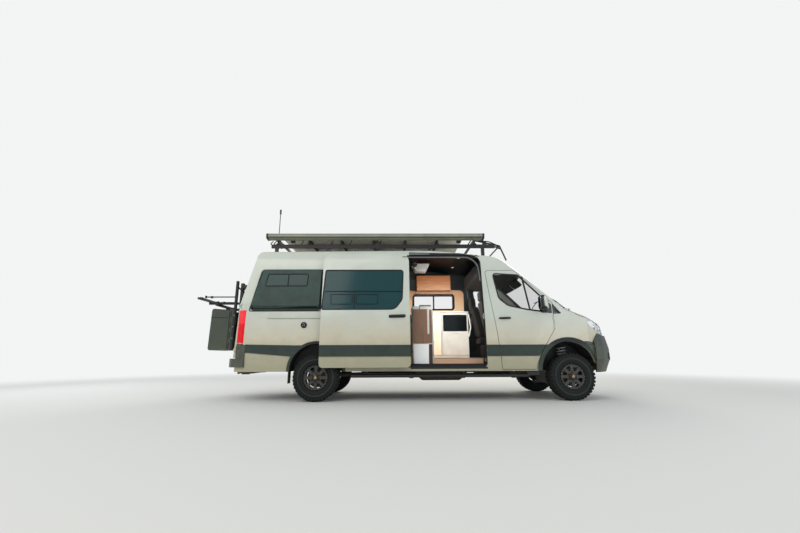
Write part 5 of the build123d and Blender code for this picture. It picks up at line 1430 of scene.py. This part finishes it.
# Name, lower and upper corner from the front axle, finish and bevel
GALLEY_BOXES = (
    ("galley_worktop", (-2.215, 0.425, 1.632), (-1.445, 0.885, 1.655), "laminate", 0.003),
    ("near_cabinet_cap", (-2.684, -0.776, 1.552), (-2.38, -0.255, 1.606), "laminate", 0.006),
    ("near_cabinet_joint", (-2.56, -0.7785, 1.556), (-2.548, -0.775, 1.602), "dark_wood", 0.0),
    ("near_cabinet_side", (-2.334, -0.758, 0.702), (-2.322, -0.262, 1.603), "laminate", 0.002),
    ("step_edge", (-2.3, -0.752, 0.692), (-1.46, -0.73, 0.704), "steel", 0.002),
)


class VAN_OT_galley(bpy.types.Operator):
    """Fronts, worktop, flap, oven and near cabinet of the living space, with its fan and reading lamp."""
    bl_idname = "van.galley"
    bl_label = "Galley"

    def execute(self, context):
        def panel(x0, x1, z0, z1, radius=0.004):
            return outline_at(rectangle(x0, z0, x1, z1), radius, 5)
        for name, across, y, depth, finish, bevel in GALLEY_FRONTS:
            Shape().sheet(panel(*across), upright(y), depth, 0.0).build(name, finish, bevel=bevel)
        for name, low, high, finish, bevel in GALLEY_BOXES:
            Shape().box_at(low, high).build(name, finish, bevel=bevel)
        flap = outline_at([(-1.462, 0.44), (-1.215, 0.44), (-1.19, 0.62), (-1.215, 0.86), (-1.462, 0.86)],
            [0.004, 0.06, 0.1, 0.06, 0.004], 5)
        Shape().prism(flap, "z", 1.6, 1.628).build("flap_table", "dark_wood", bevel=0.006)
        leg = points_at([(-1.44, 0.452, 1.6), (-1.405, 0.452, 1.32), (-1.452, 0.452, 1.13)])
        Shape().tube(bent(leg, 0.03), 0.012, 10).build("flap_stay", "white", smooth=50)
        rim = panel(-1.97, -1.506, 1.256, 1.556, 0.008)
        Shape().rim(rim, 0.001, -0.005, upright(0.416), 0.0015, -0.002).build(
            "oven_window_frame", "black_frames_and_bevel_shade")
        bar = bent(points_at([(-1.935, 0.418, 1.536), (-1.935, 0.39, 1.536), (-1.545, 0.39, 1.536),
            (-1.545, 0.418, 1.536)]), 0.012)
        Shape().tube(bar, 0.004, 10).build("oven_handle", "black", smooth=50)
        pull = Shape().tube(bent([(0, 0.424, 0), (0, 0.405, 0), (0.14, 0.405, 0), (0.14, 0.424, 0)], 0.008),
            0.003, 8)
        repeated(pull, "drawer_pulls", "steel", "root", 1, step=(0.0, 0, 0.42),
            centre=(from_axle(-1.79), 0, 1.19), smooth=50)
        slats = Shape()
        for k in range(3):
            slats.sheet(panel(-2.38 + 0.015 * k, -2.368 + 0.015 * k, 0.955, 1.548, 0.001), upright(-0.76),
                0.012, 0.0)
        slats.sheet(panel(-2.418, -2.384, 0.955, 1.112, 0.002), upright(-0.76), 0.008, 0.0)
        slats.build("near_cabinet_slats", "walnut", bevel=0.0005)
        board = Shape().prism(panel(-2.555, -2.345, 1.612, 1.632, 0.008), "y", -0.77, -0.3)
        board.build("near_cabinet_board", "walnut", bevel=0.003)
        chest = Shape().sheet(outline_at([(-2.664, 0.59), (-2.41, 0.59), (-2.403, 0.936), (-2.676, 0.936)],
            0.02, 5), upright(-0.8), 0.018, 0.0)
        chest.build("near_chest_front", "white", bevel=0.004)
        knob = Shape().lathe([(0.006, 0.0), (0.006, 0.003), (0.008, 0.008), (0.005, 0.012), (0.0, 0.013)],
            (0, 0.596, 0), (0, -1, 0), 20)
        repeated(knob, "overhead_knobs", "steel", "root", 2, step=(0.085, 0, 0),
            centre=(from_axle(-2.19), 0, 2.165), smooth=50)
        shroud = []
        for half, z in ((0.105, 2.395), (0.112, 2.4), (0.14, 2.47), (0.175, 2.535)):
            shroud.append([(from_axle(-2.48) + x, -0.05 + y, z) for x,
                y in rounded(rectangle(-half, -half, half, half), 0.03, 4)])
        Shape().loops(shroud).build("roof_fan_shroud", "white", bevel=0.003)
        lamp = (from_axle(-2.63), -0.42, 2.455), (0.1, -0.5, -1), 36
        ring = Shape().lathe([(0.05, -0.03), (0.058, 0.0), (0.062, 0.004), (0.066, 0.0), (0.066, -0.03)],
            *lamp, True)
        ring.build("reading_lamp_ring", "steel", smooth=50)
        bowl = Shape().lathe([(0.0655, -0.03), (0.05, -0.006), (0.02, -0.002), (0.0, -0.001)], *lamp)
        bowl.build("reading_lamp", "black", smooth=50)
        return {"FINISHED"}


class VAN_OT_galley_window(bpy.types.Operator):
    """The split window in the far wall, with its dark frame inside."""
    bl_idname = "van.galley_window"
    bl_label = "Galley window"

    def execute(self, context):
        pane = outline_at([(-2.574, 1.76), (-2.574, 2.062), (-1.69, 2.062), (-1.69, 1.76)], 0.04)

        def inner(x, z, depth):
            return Vector((x, 1.0 - (z - 1.25) * 0.08 - 0.0705 - depth, z))
        ring = Shape().rim(pane, 0.03, -0.004, inner, 0.014, -0.06)
        ring.sheet(outline_at(rectangle(-2.145, 1.765, -2.115, 2.058), 0.002), inner, 0.004, -0.058)
        ring.build("galley_window_frame", "gloss", smooth=40)
        outer = on_side(1)
        Shape().rim(pane, 0.012, -0.014, outer, 0.002, -0.005).build("galley_window_rubber", "rubber")
        return {"FINISHED"}


class VAN_OT_cab(bpy.types.Operator):
    """Screen, vents and cluster hood of the dashboard, the headliner, the sun visors and the seat belts."""
    bl_idname = "van.cab"
    bl_label = "Cab"

    def execute(self, context):
        screen = Shape().prism(rounded(rectangle(-0.13, 1.33, 0.13, 1.46), 0.012), "x", from_axle(-0.655),
            from_axle(-0.64))
        screen.build("dash_screen", "gloss", bevel=0.002)
        hood = Shape().prism(rounded([(0.25, 1.4), (0.61, 1.4), (0.58, 1.5), (0.28, 1.5)], 0.03), "x",
            from_axle(-0.62), from_axle(-0.42))
        hood.build("dash_cluster_hood", "dash", bevel=0.01)
        fin = Shape().box_at((-0.672, -0.055, -0.002), (-0.66, 0.055, 0.002))
        for number, y in enumerate((-0.72, -0.25, 0.25, 0.74)):
            ring = rounded(rectangle(y - 0.065, 1.335, y + 0.065, 1.405), 0.02)
            Shape().rim(ring, 0.006, -0.004, lambda a, b, d: Vector((from_axle(-0.655) - d, a, b)), 0.012,
                -0.01).build(f"dash_vent_ring_{number}", "gloss")
            repeated(fin, f"dash_vent_fins_{number}", "black", "root", 5, step=(0, 0, 0.013),
                centre=(0, y, 1.344), smooth=30)
        shell = skin_of("windscreen", "roof_panel", "front_body", "body_side_right", "body_side_left")

        def screen_at(y, z):
            hit = shell.ray_cast(Vector((from_axle(-1.38), y, z)), Vector((1, 0, 0)))[0]
            return min(hit.x if hit else from_axle(-0.55), from_axle(-0.55))
        front_edge = [(screen_at(y, 2.19) - 0.07, y) for y in [0.76 - 0.095 * k for k in range(17)]]
        outline = [(from_axle(-1.46), 0.76)] + front_edge + [(from_axle(-1.46), -0.76)]
        liner = Shape().prism(outline, "z", 2.168, 2.186)
        liner.box_at((-1.46, -0.76, 2.186), (-1.44, 0.76, 2.42))
        liner.build("cab_headliner", "headliner", bevel=0.004)
        for side, s in SIDES:
            section = rounded([(-0.03, 2.166), (0.09, 2.045), (0.076, 2.031), (-0.05, 2.152)], 0.006)
            ends = [[(screen_at(s * y, 2.19) - 0.1 + x, s * y, z) for x, z in section]
                for y in (0.03, 0.22, 0.4, 0.54)]
            Shape().loops(ends).build(f"sun_visor_{side}", "headliner", bevel=0.004)
            belt = Shape()
            path = [(-1.38, s * 0.72, 1.95), (-1.24, s * 0.6, 1.55), (-1.12, s * 0.62, 1.15),
                (-1.1, s * 0.69, 1.02)]
            for i in range(len(path) - 1):
                a, b = path[i], path[i + 1]
                belt.loops([[(from_axle(p[0]) + dx, p[1] + dy, p[2]) for dx,
                    dy in ((0.024, 0), (0.024, 0.0015), (-0.024, 0.0015), (-0.024, 0))] for p in (a, b)])
            belt.build(f"seat_belt_{side}", "black", smooth=0)
        return {"FINISHED"}


SEAT_MIDDLE = 0.44


class VAN_OT_seats(bpy.types.Operator):
    """Upholstered cab seats: crowned cushions with sewn channels, in place of the plain solids."""
    bl_idname = "van.seats"
    bl_label = "Seats"

    def execute(self, context):
        parts = {
            "cushion": ([(-1.3, 0.9603), (-0.79, 0.9603), (-0.78, 1.105), (-1.26, 1.105)], 0.25, 0.055),
            "back": ([(-1.265, 1.1053), (-1.14, 1.1053), (-1.27, 1.74), (-1.4, 1.74)], 0.25, 0.04),
            "headrest": ([(-1.4, 1.7403), (-1.29, 1.7403), (-1.31, 1.93), (-1.41, 1.93)], 0.14, 0.04),
        }
        rings_across = 15
        replaced = ("front_seats",)
        for side, s in SIDES:
            middle = s * SEAT_MIDDLE
            for part, (section, half, radius) in parts.items():
                outline = rounded([(from_axle(x), z) for x, z in section], radius, 6)
                rings = []
                cx = sum(p[0] for p in outline) / len(outline)
                cz = sum(p[1] for p in outline) / len(outline)
                for k in range(rings_across):
                    t = -1 + 2 * k / (rings_across - 1)
                    pull = 1.0 - 0.3 * abs(t) ** 6
                    groove = 0.975 if k in (4, 10) and part != "headrest" else 1.0
                    rings.append([(cx + (x - cx) * pull * groove, middle + half * t * 0.995,
                        cz + (z - cz) * pull * groove) for x, z in outline])
                shape = Shape().loops(rings)
                piece = shape.build(f"seat_{part}_{side}", "seat", replaces=replaced, subdivide=1, smooth=60)
                replaced = ()
            base = Shape().box_at((-1.25, middle - 0.2, 0.7005), (-0.87, middle + 0.2, 0.9595))
            base.build(f"seat_base_{side}", "dash", bevel=0.02)
            for y in (-0.06, 0.06):
                Shape().tube(points_at([(-1.345, middle + y, 1.715), (-1.35, middle + y, 1.765)]), 0.007,
                    10).build(f"headrest_post_{side}_{'a' if y < 0 else 'b'}", "steel", smooth=50)
        return {"FINISHED"}


class VAN_OT_mattress(bpy.types.Operator):
    """A crowned mattress with a waist round its edge, in place of the plain solid."""
    bl_idname = "van.mattress"
    bl_label = "Mattress"

    def execute(self, context):
        low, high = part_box("mattress")
        half_x, half_y = (high.x - low.x) / 2, (high.y - low.y) / 2
        mid_x = (low.x + high.x) / 2
        rings = []
        plan = rounded(rectangle(-half_x, -half_y, half_x, half_y), 0.06, 6)
        for scale, z in ((0.985, 0.0), (0.997, 0.012), (1.0, 0.03), (0.996, 0.06), (1.0, 0.09),
                (0.992, 0.108), (0.965, 0.117), (0.8, 0.1195), (0.4, 0.1195)):
            stretch = 1 - (1 - scale) * half_y / half_x
            rings.append([(mid_x + x * stretch, y * scale, low.z + z) for x, y in plan])
        Shape().loops(rings).build("mattress_pad", "ticking", replaces=("mattress",), smooth=60)
        return {"FINISHED"}


class VAN_OT_ceiling(bpy.types.Operator):
    """Ceiling lamps let into the black lining."""
    bl_idname = "van.ceiling"
    bl_label = "Ceiling"

    def execute(self, context):
        roof = skin_of("roof_panel")
        for number, (x, y) in enumerate([(x, y) for x in (-4.6, -3.5, -2.45, -1.75) for y in (-0.4, 0.4)]):
            hit = roof.ray_cast(Vector((from_axle(x), y, 2.0)), Vector((0, 0, 1)))[0]
            if hit is None:
                continue
            ring = Shape().lathe([(0.034, -0.002), (0.034, 0.006), (0.028, 0.009), (0.026, 0.004),
                (0.026, -0.002)], hit, (0, 0, -1), 28, True)
            ring.build(f"ceiling_lamp_ring_{number}", "steel")
            glow = Shape().lathe([(0.0262, -0.002), (0.0262, 0.004), (0.0, 0.005)], hit, (0, 0, -1), 28)
            glow.build(f"ceiling_lamp_{number}", "guide")
        return {"FINISHED"}


class VAN_OT_rear(bpy.types.Operator):
    """The box's lid seam and latches, the carrier's post, whose black is also painted shade, trays and arms,
    and the rear doors' trim.
    """
    bl_idname = "van.rear"
    bl_label = "Rear"

    def execute(self, context):
        low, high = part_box("storage_box")
        lid = rounded(rectangle(low.x - 0.004, low.y - 0.004, high.x - 0.006, high.y + 0.004), 0.03)
        seam = Shape().prism(lid, "z", high.z - 0.165, high.z - 0.157)
        seam.build("box_lid_seam", "rubber", "rear_door_right")
        for number, y in enumerate((-0.58, -0.2)):
            latch = Shape().box((low.x - 0.006, y - 0.02, high.z - 0.2),
                (low.x + 0.02, y + 0.02, high.z - 0.12))
            latch.build(f"box_latch_{number}", "steel", "rear_door_right", bevel=0.004)
        for tray, (x, z) in enumerate(((-6.2, 1.64), (-6.535, 1.76))):
            channel = Shape().prism(outline_at([(x - 0.022, z + 0.012), (x + 0.022, z + 0.012),
                (x + 0.022, z + 0.03), (x + 0.016, z + 0.03), (x + 0.012, z + 0.018), (x - 0.012, z + 0.018),
                (x - 0.016, z + 0.03), (x - 0.022, z + 0.03)], 0.001, 5), "y", -0.755, -0.025)
            channel.build(f"tray_channel_{tray}", "coat", "rear_door_right")
            strap = Shape().box_at((x - 0.028, -0.012, z - 0.01), (x + 0.028, 0.012, z + 0.036))
            repeated(strap, f"tray_straps_{tray}", "rubber", "rear_door_right", 2, step=(0, 0.56, 0),
                centre=(0, -0.67, 0), smooth=30)
        doors = skin_of("rear_door_right", "rear_door_left", "rear_glass_right", "rear_glass_left")
        skin = laid_on(doors, "x", -1)
        for side, s in SIDES:
            pane = rounded([(s * 0.81, 1.5), (s * 0.14, 1.5), (s * 0.14, 2.2), (s * 0.76, 2.2)], 0.05)
            Shape().rim(pane, 0.01, -0.012, skin, 0.002, -0.008).build(
                f"rear_window_rubber_{side}", "rubber", f"rear_door_{side}")
        cup = rounded(rectangle(0.03, 1.18, 0.16, 1.32), 0.03)
        Shape().sheet(cup, skin, 0.004, -0.002).build("rear_handle_cup", "black", "rear_door_left",
            bevel=0.001)
        grip = bent([skin(0.05, 1.25, 0.004), skin(0.05, 1.25, 0.03), skin(0.14, 1.25, 0.03),
            skin(0.14, 1.25, 0.004)], 0.012)
        Shape().tube(grip, 0.009, 10).build("rear_handle", "black", "rear_door_left", smooth=50)
        for side, s in SIDES:
            corner = outline_at([(-5.722, 0.56), (-5.716, 0.955), (-5.576, 0.955), (-5.56, 0.56)], 0.006)
            Shape().patch(corner, laid_on(skin_of(f"body_side_{side}"), "y", s), 0.005, -0.004, 0.02).build(
                f"bumper_corner_{side}", "bumper", bevel=0.001)
        near = Shape().box_at((-5.968, -0.7195, 0.85), (-5.9, -0.69, 1.575))
        near.build("box_side_bracket", "box", "rear_door_right", bevel=0.004)
        # Dark pads stand for the bracket's slots: painted shade in the openings.
        slot = Shape().prism(rounded(rectangle(-0.008, -0.055, 0.008, 0.055), 0.007), "y", -0.7215, -0.716)
        repeated(slot, "bracket_slot_shade", "rubber", "rear_door_right", 4, step=(0.0, 0, 0.185),
            centre=(from_axle(-5.945), 0, 0.925), smooth=30)
        # The carrier's black post also fills the gap between box and body: partly a real post, partly
        # painted shade.
        post = Shape().prism(outline_at(rectangle(-5.898, -0.745, -5.858, -0.69), 0.006, 5), "z", 0.84,
            2.085)
        for z in (1.98, 0.92):
            post.tube(points_at([(-5.95, -0.34, z), (-5.878, -0.7, z)]), 0.014, 10)
        post.build("carrier_post_and_shade", "coat", "rear_door_right", bevel=0.002)
        for number, (z, end) in enumerate(((1.79, -6.42), (1.688, -6.19))):
            arm = Shape().tube(points_at([(-5.86, -0.735, z), (end, -0.735, z)]), 0.011, 10)
            arm.box_at((end - 0.012, -0.752, z - 0.02), (end + 0.01, -0.718, z + 0.024))
            arm.box_at((end + 0.09, -0.75, z - 0.024), (end + 0.125, -0.72, z + 0.016))
            arm.build(f"tray_arm_{number}", "coat", "rear_door_right", bevel=0.002)
        for number, z in enumerate((1.055, 1.255, 1.455)):
            bolt = Shape().lathe([(0.011, -0.002), (0.011, 0.006), (0.0, 0.008)],
                (from_axle(-5.878), -0.745, z), (0, -1, 0), 6)
            bolt.build(f"post_bolt_{number}", "steel", "rear_door_right")
        ring = Shape().band(rectangle(-0.041, 0.414, 0.041, 0.496),
            rectangle(-0.0318, 0.4232, 0.0318, 0.4868), lambda y, z,
            d: Vector((from_axle(-6.008) - d, y, z)), 0.002, -0.012)
        ring.build("receiver_collar", "coat", bevel=0.001)
        return {"FINISHED"}


class VAN_OT_underbody(bpy.types.Operator):
    """Tabs, noses and grips of the side steps, the exhaust, the fuel tank and the front springs."""
    bl_idname = "van.underbody"
    bl_label = "Underbody"

    def execute(self, context):
        for side, s in SIDES:
            low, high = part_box("side_steps")
            tab = Shape().prism(rounded([(-0.035, -0.016), (0.035, -0.016), (0.045, 0.01), (-0.045, 0.01)],
                0.006), "y", *sorted((s * 0.955, s * 1.005)))
            repeated(tab, f"step_tabs_{side}", "coat", "root", 3, step=(0.86, 0, 0),
                centre=(from_axle(-2.72), 0, low.z + 0.004), smooth=30)
            nose = Shape().prism(outline_at([(-0.775, 0.404), (-0.575, 0.42), (-0.56, 0.474),
                (-0.775, 0.474)], 0.008, 5), "y", *sorted((s * 0.86, s * 1.0)))
            nose.build(f"step_nose_{side}", "black", bevel=0.006)
            tread = Shape().box((0.0, -0.035, 0.0), (0.01, 0.035, 0.003))
            repeated(tread, f"step_grip_{side}", "rubber", "root", 90, step=(0.03, 0, 0),
                centre=(from_axle(-3.55), s * 0.962, high.z - 0.0005), smooth=0)
        pipe = bent(points_at([(-0.45, -0.3, 0.46), (-1.0, -0.33, 0.4), (-2.2, -0.33, 0.4),
            (-3.0, -0.3, 0.42), (-3.5, -0.3, 0.42)]), 0.12)
        Shape().tube(pipe, 0.032, 14).build("exhaust_pipe", "iron", smooth=50)
        silencer = Shape().lathe([(0.03, -0.42), (0.085, -0.37), (0.1, -0.33), (0.1, 0.33), (0.085, 0.37),
            (0.03, 0.42)], (from_axle(-2.15), -0.3, 0.4), (1, 0, 0), 32)
        silencer.build("exhaust_silencer", "iron", smooth=50)
        tank = Shape().prism(rounded(rectangle(0.2, 0.42, 0.385, 0.6), 0.05), "x", from_axle(-3.1),
            from_axle(-2.2))
        tank.build("fuel_tank", "black", bevel=0.03)
        for side, s in SIDES:
            turns, count, points = 6.0, 90, []
            for k in range(count + 1):
                a = 2 * math.pi * turns * k / count
                points.append((AXLE_X + 0.072 * math.cos(a), s * 0.6 + 0.072 * math.sin(a),
                    0.58 + 0.3 * k / count))
            Shape().tube(points, 0.008, 8).build(f"front_spring_{side}", "white", smooth=60)
            Shape().lathe([(0.05, 0.0), (0.085, 0.004), (0.085, 0.01), (0.05, 0.014)],
                (AXLE_X, s * 0.6, 0.562), (0, 0, 1), 28).build(f"spring_seat_{side}", "chassis")
        return {"FINISHED"}


# Stage

CAMERA_PLACE = Vector((-0.197, -7.536, 0.727))
CAMERA_YAW = math.radians(0.62)
CAMERA_PITCH = math.radians(13.46)
CAMERA_ROLL = math.radians(-0.23)
CAMERA_LENS = 16.93
BACKDROP = "#F3F4F4"
LARGEST_CABIN_LAMP = 2.0
STUDIO_SPREAD = 180
CABIN_SPREAD = 125
FADE_FROM = 6.5
FADE_TO = 15.0
# Name, place, the point it looks at, width, power in watts and tint
LAMPS = (
    ("Key", (-5.0, -9.0, 7.5), (0, 0, 1.2), 7.0, 420.0, "#FFF8EE"),
    ("Fill", (7.5, -7.0, 4.0), (0, 0, 1.2), 6.0, 200.0, "#F2F6FF"),
    ("Back", (3.0, 9.0, 6.5), (0, 0, 1.5), 6.0, 380.0, "#FFF3E0"),
    ("Rear", (-9.0, 2.0, 4.5), (0, 0, 1.2), 5.0, 170.0, "#F6F8FF"),
    ("Doorway", (1.02, -0.84, 1.92), (0.74, 0.6, 1.3), 0.7, 13.0, "#FFF8F0"),
    ("Cabin", (0.6, -0.1, 2.42), (0.6, 0.3, 1.0), 0.5, 4.0, "#FFF6EA"),
)


class VAN_OT_stage(bpy.types.Operator):
    """A pale floor that fades into the backdrop, soft lamps, and the camera at the photograph's place."""
    bl_idname = "van.stage"
    bl_label = "Stage"

    def execute(self, context):
        floor = bpy.data.meshes.new("stage_floor")
        floor.from_pydata([(-80, -80, 0), (80, -80, 0), (80, 80, 0), (-80, 80, 0)], [], [(0, 1, 2, 3)])
        ground = bpy.data.objects.new("stage_floor", floor)
        context.scene.collection.objects.link(ground)
        finish, tree, shader = shader_of("Pale studio floor", "#D9D8D4", 0.9)
        place = add(tree, "ShaderNodeTexCoord").outputs["Object"]
        grained(tree, shader, place, 12.0, 1.0)
        away = add(tree, "ShaderNodeVectorMath", links={0: place}, operation="LENGTH").outputs["Value"]
        fade = add(tree, "ShaderNodeMapRange", {"From Min": FADE_FROM, "From Max": FADE_TO}, {"Value": away},
            interpolation_type="SMOOTHSTEP")
        rays = add(tree, "ShaderNodeLightPath")
        shown = add(tree, "ShaderNodeMath", links={0: rays.outputs["Is Camera Ray"],
            1: rays.outputs["Is Glossy Ray"]}, operation="MAXIMUM").outputs[0]
        mask = add(tree, "ShaderNodeMath", links={0: fade.outputs[0], 1: shown},
            operation="MULTIPLY").outputs[0]
        glow = add(tree, "ShaderNodeEmission", {"Color": linear(BACKDROP), "Strength": 1.0})
        both = add(tree, "ShaderNodeMixShader", links={0: mask, 1: shader.outputs[0], 2: glow.outputs[0]})
        tree.links.new(both.outputs[0], tree.nodes["Material Output"].inputs[0])
        floor.materials.append(finish)
        world = bpy.data.worlds.new("Pale studio")
        context.scene.world = world
        world.use_nodes = True
        tree = world.node_tree
        tree.nodes.clear()
        rays = add(tree, "ShaderNodeLightPath")
        shown = add(tree, "ShaderNodeMath", links={0: rays.outputs["Is Camera Ray"],
            1: rays.outputs["Is Transmission Ray"]}, operation="MAXIMUM").outputs[0]
        light = add(tree, "ShaderNodeBackground", {"Color": linear("#EAF1F6"), "Strength": 0.72})
        seen = add(tree, "ShaderNodeBackground", {"Color": linear(BACKDROP), "Strength": 1.0})
        both = add(tree, "ShaderNodeMixShader", links={0: shown, 1: light.outputs[0], 2: seen.outputs[0]})
        add(tree, "ShaderNodeOutputWorld", links={0: both.outputs[0]})
        level = context.scene.van_sizes.light
        for name, place, target, size, power, tint in LAMPS:
            lamp = bpy.data.lights.new(name, "AREA")
            lamp.shape = "SQUARE"
            lamp.size = size
            lamp.energy = power * level
            lamp.color = linear(tint)[:3]
            studio_lamp = size > LARGEST_CABIN_LAMP
            lamp.spread = math.radians(STUDIO_SPREAD if studio_lamp else CABIN_SPREAD)
            holder = bpy.data.objects.new(name, lamp)
            holder.location = place
            holder.rotation_euler = (Vector(target) - Vector(place)).to_track_quat("-Z", "Y").to_euler()
            holder.visible_camera = False
            holder.visible_glossy = studio_lamp
            context.scene.collection.objects.link(holder)
        data = bpy.data.cameras.new("Camera")
        data.sensor_fit = "HORIZONTAL"
        data.sensor_width = 36.0
        data.lens = CAMERA_LENS
        data.clip_start = 0.05
        data.clip_end = 200
        camera = bpy.data.objects.new("Camera", data)
        ahead = Vector((math.sin(CAMERA_YAW) * math.cos(CAMERA_PITCH),
            math.cos(CAMERA_YAW) * math.cos(CAMERA_PITCH), math.sin(CAMERA_PITCH)))
        right = Vector((math.cos(CAMERA_YAW), -math.sin(CAMERA_YAW), 0))
        up = right.cross(ahead)
        right_rolled = right * math.cos(CAMERA_ROLL) + up * math.sin(CAMERA_ROLL)
        up_rolled = up * math.cos(CAMERA_ROLL) - right * math.sin(CAMERA_ROLL)
        turned = Matrix((right_rolled, up_rolled, -ahead)).transposed()
        camera.matrix_world = Matrix.Translation(CAMERA_PLACE) @ turned.to_4x4()
        context.scene.collection.objects.link(camera)
        context.scene.camera = camera
        context.scene.view_settings.view_transform = "Standard"
        return {"FINISHED"}


OPERATORS = (
    VAN_OT_finishes,
    VAN_OT_node_coats,
    VAN_OT_stage,
    VAN_OT_tyres,
    VAN_OT_wheels,
    VAN_OT_window_trim,
    VAN_OT_pods,
    VAN_OT_lamps,
    VAN_OT_front,
    VAN_OT_sliding_door_fittings,
    VAN_OT_side_fittings,
    VAN_OT_door_fittings,
    VAN_OT_door_cards,
    VAN_OT_rack_fittings,
    VAN_OT_awning,
    VAN_OT_galley,
    VAN_OT_galley_window,
    VAN_OT_cab,
    VAN_OT_seats,
    VAN_OT_mattress,
    VAN_OT_ceiling,
    VAN_OT_rear,
    VAN_OT_underbody,
)


class VAN_PT_looks(bpy.types.Panel):
    """Lists the settings and the steps that dress the van."""
    bl_idname = "VAN_PT_looks"
    bl_label = "Camper van"
    bl_space_type = "VIEW_3D"
    bl_region_type = "UI"
    bl_category = "Camper van"

    def draw(self, context):
        layout = self.layout
        for group in (context.scene.van_sizes, context.scene.van_colours):
            box = layout.box()
            for key in group.bl_rna.properties.keys():
                if key not in ("rna_type", "name"):
                    box.prop(group, key)
        for step in OPERATORS:
            layout.operator(step.bl_idname)


CLASSES = (VanColours, VanSizes, *OPERATORS, VAN_PT_looks)


def register():
    """Registers the classes and hangs the settings on the scene."""
    for kind in CLASSES:
        bpy.utils.register_class(kind)
    bpy.types.Scene.van_colours = bpy.props.PointerProperty(type=VanColours)
    bpy.types.Scene.van_sizes = bpy.props.PointerProperty(type=VanSizes)


def unregister():
    """Takes the settings and the classes away again."""
    del bpy.types.Scene.van_sizes
    del bpy.types.Scene.van_colours
    for kind in reversed(CLASSES):
        bpy.utils.unregister_class(kind)


def main():
    """Registers the add-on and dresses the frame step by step."""
    register()
    for step in OPERATORS:
        getattr(bpy.ops.van, step.bl_idname.split(".")[1])()


if __name__ == "__main__":
    main()
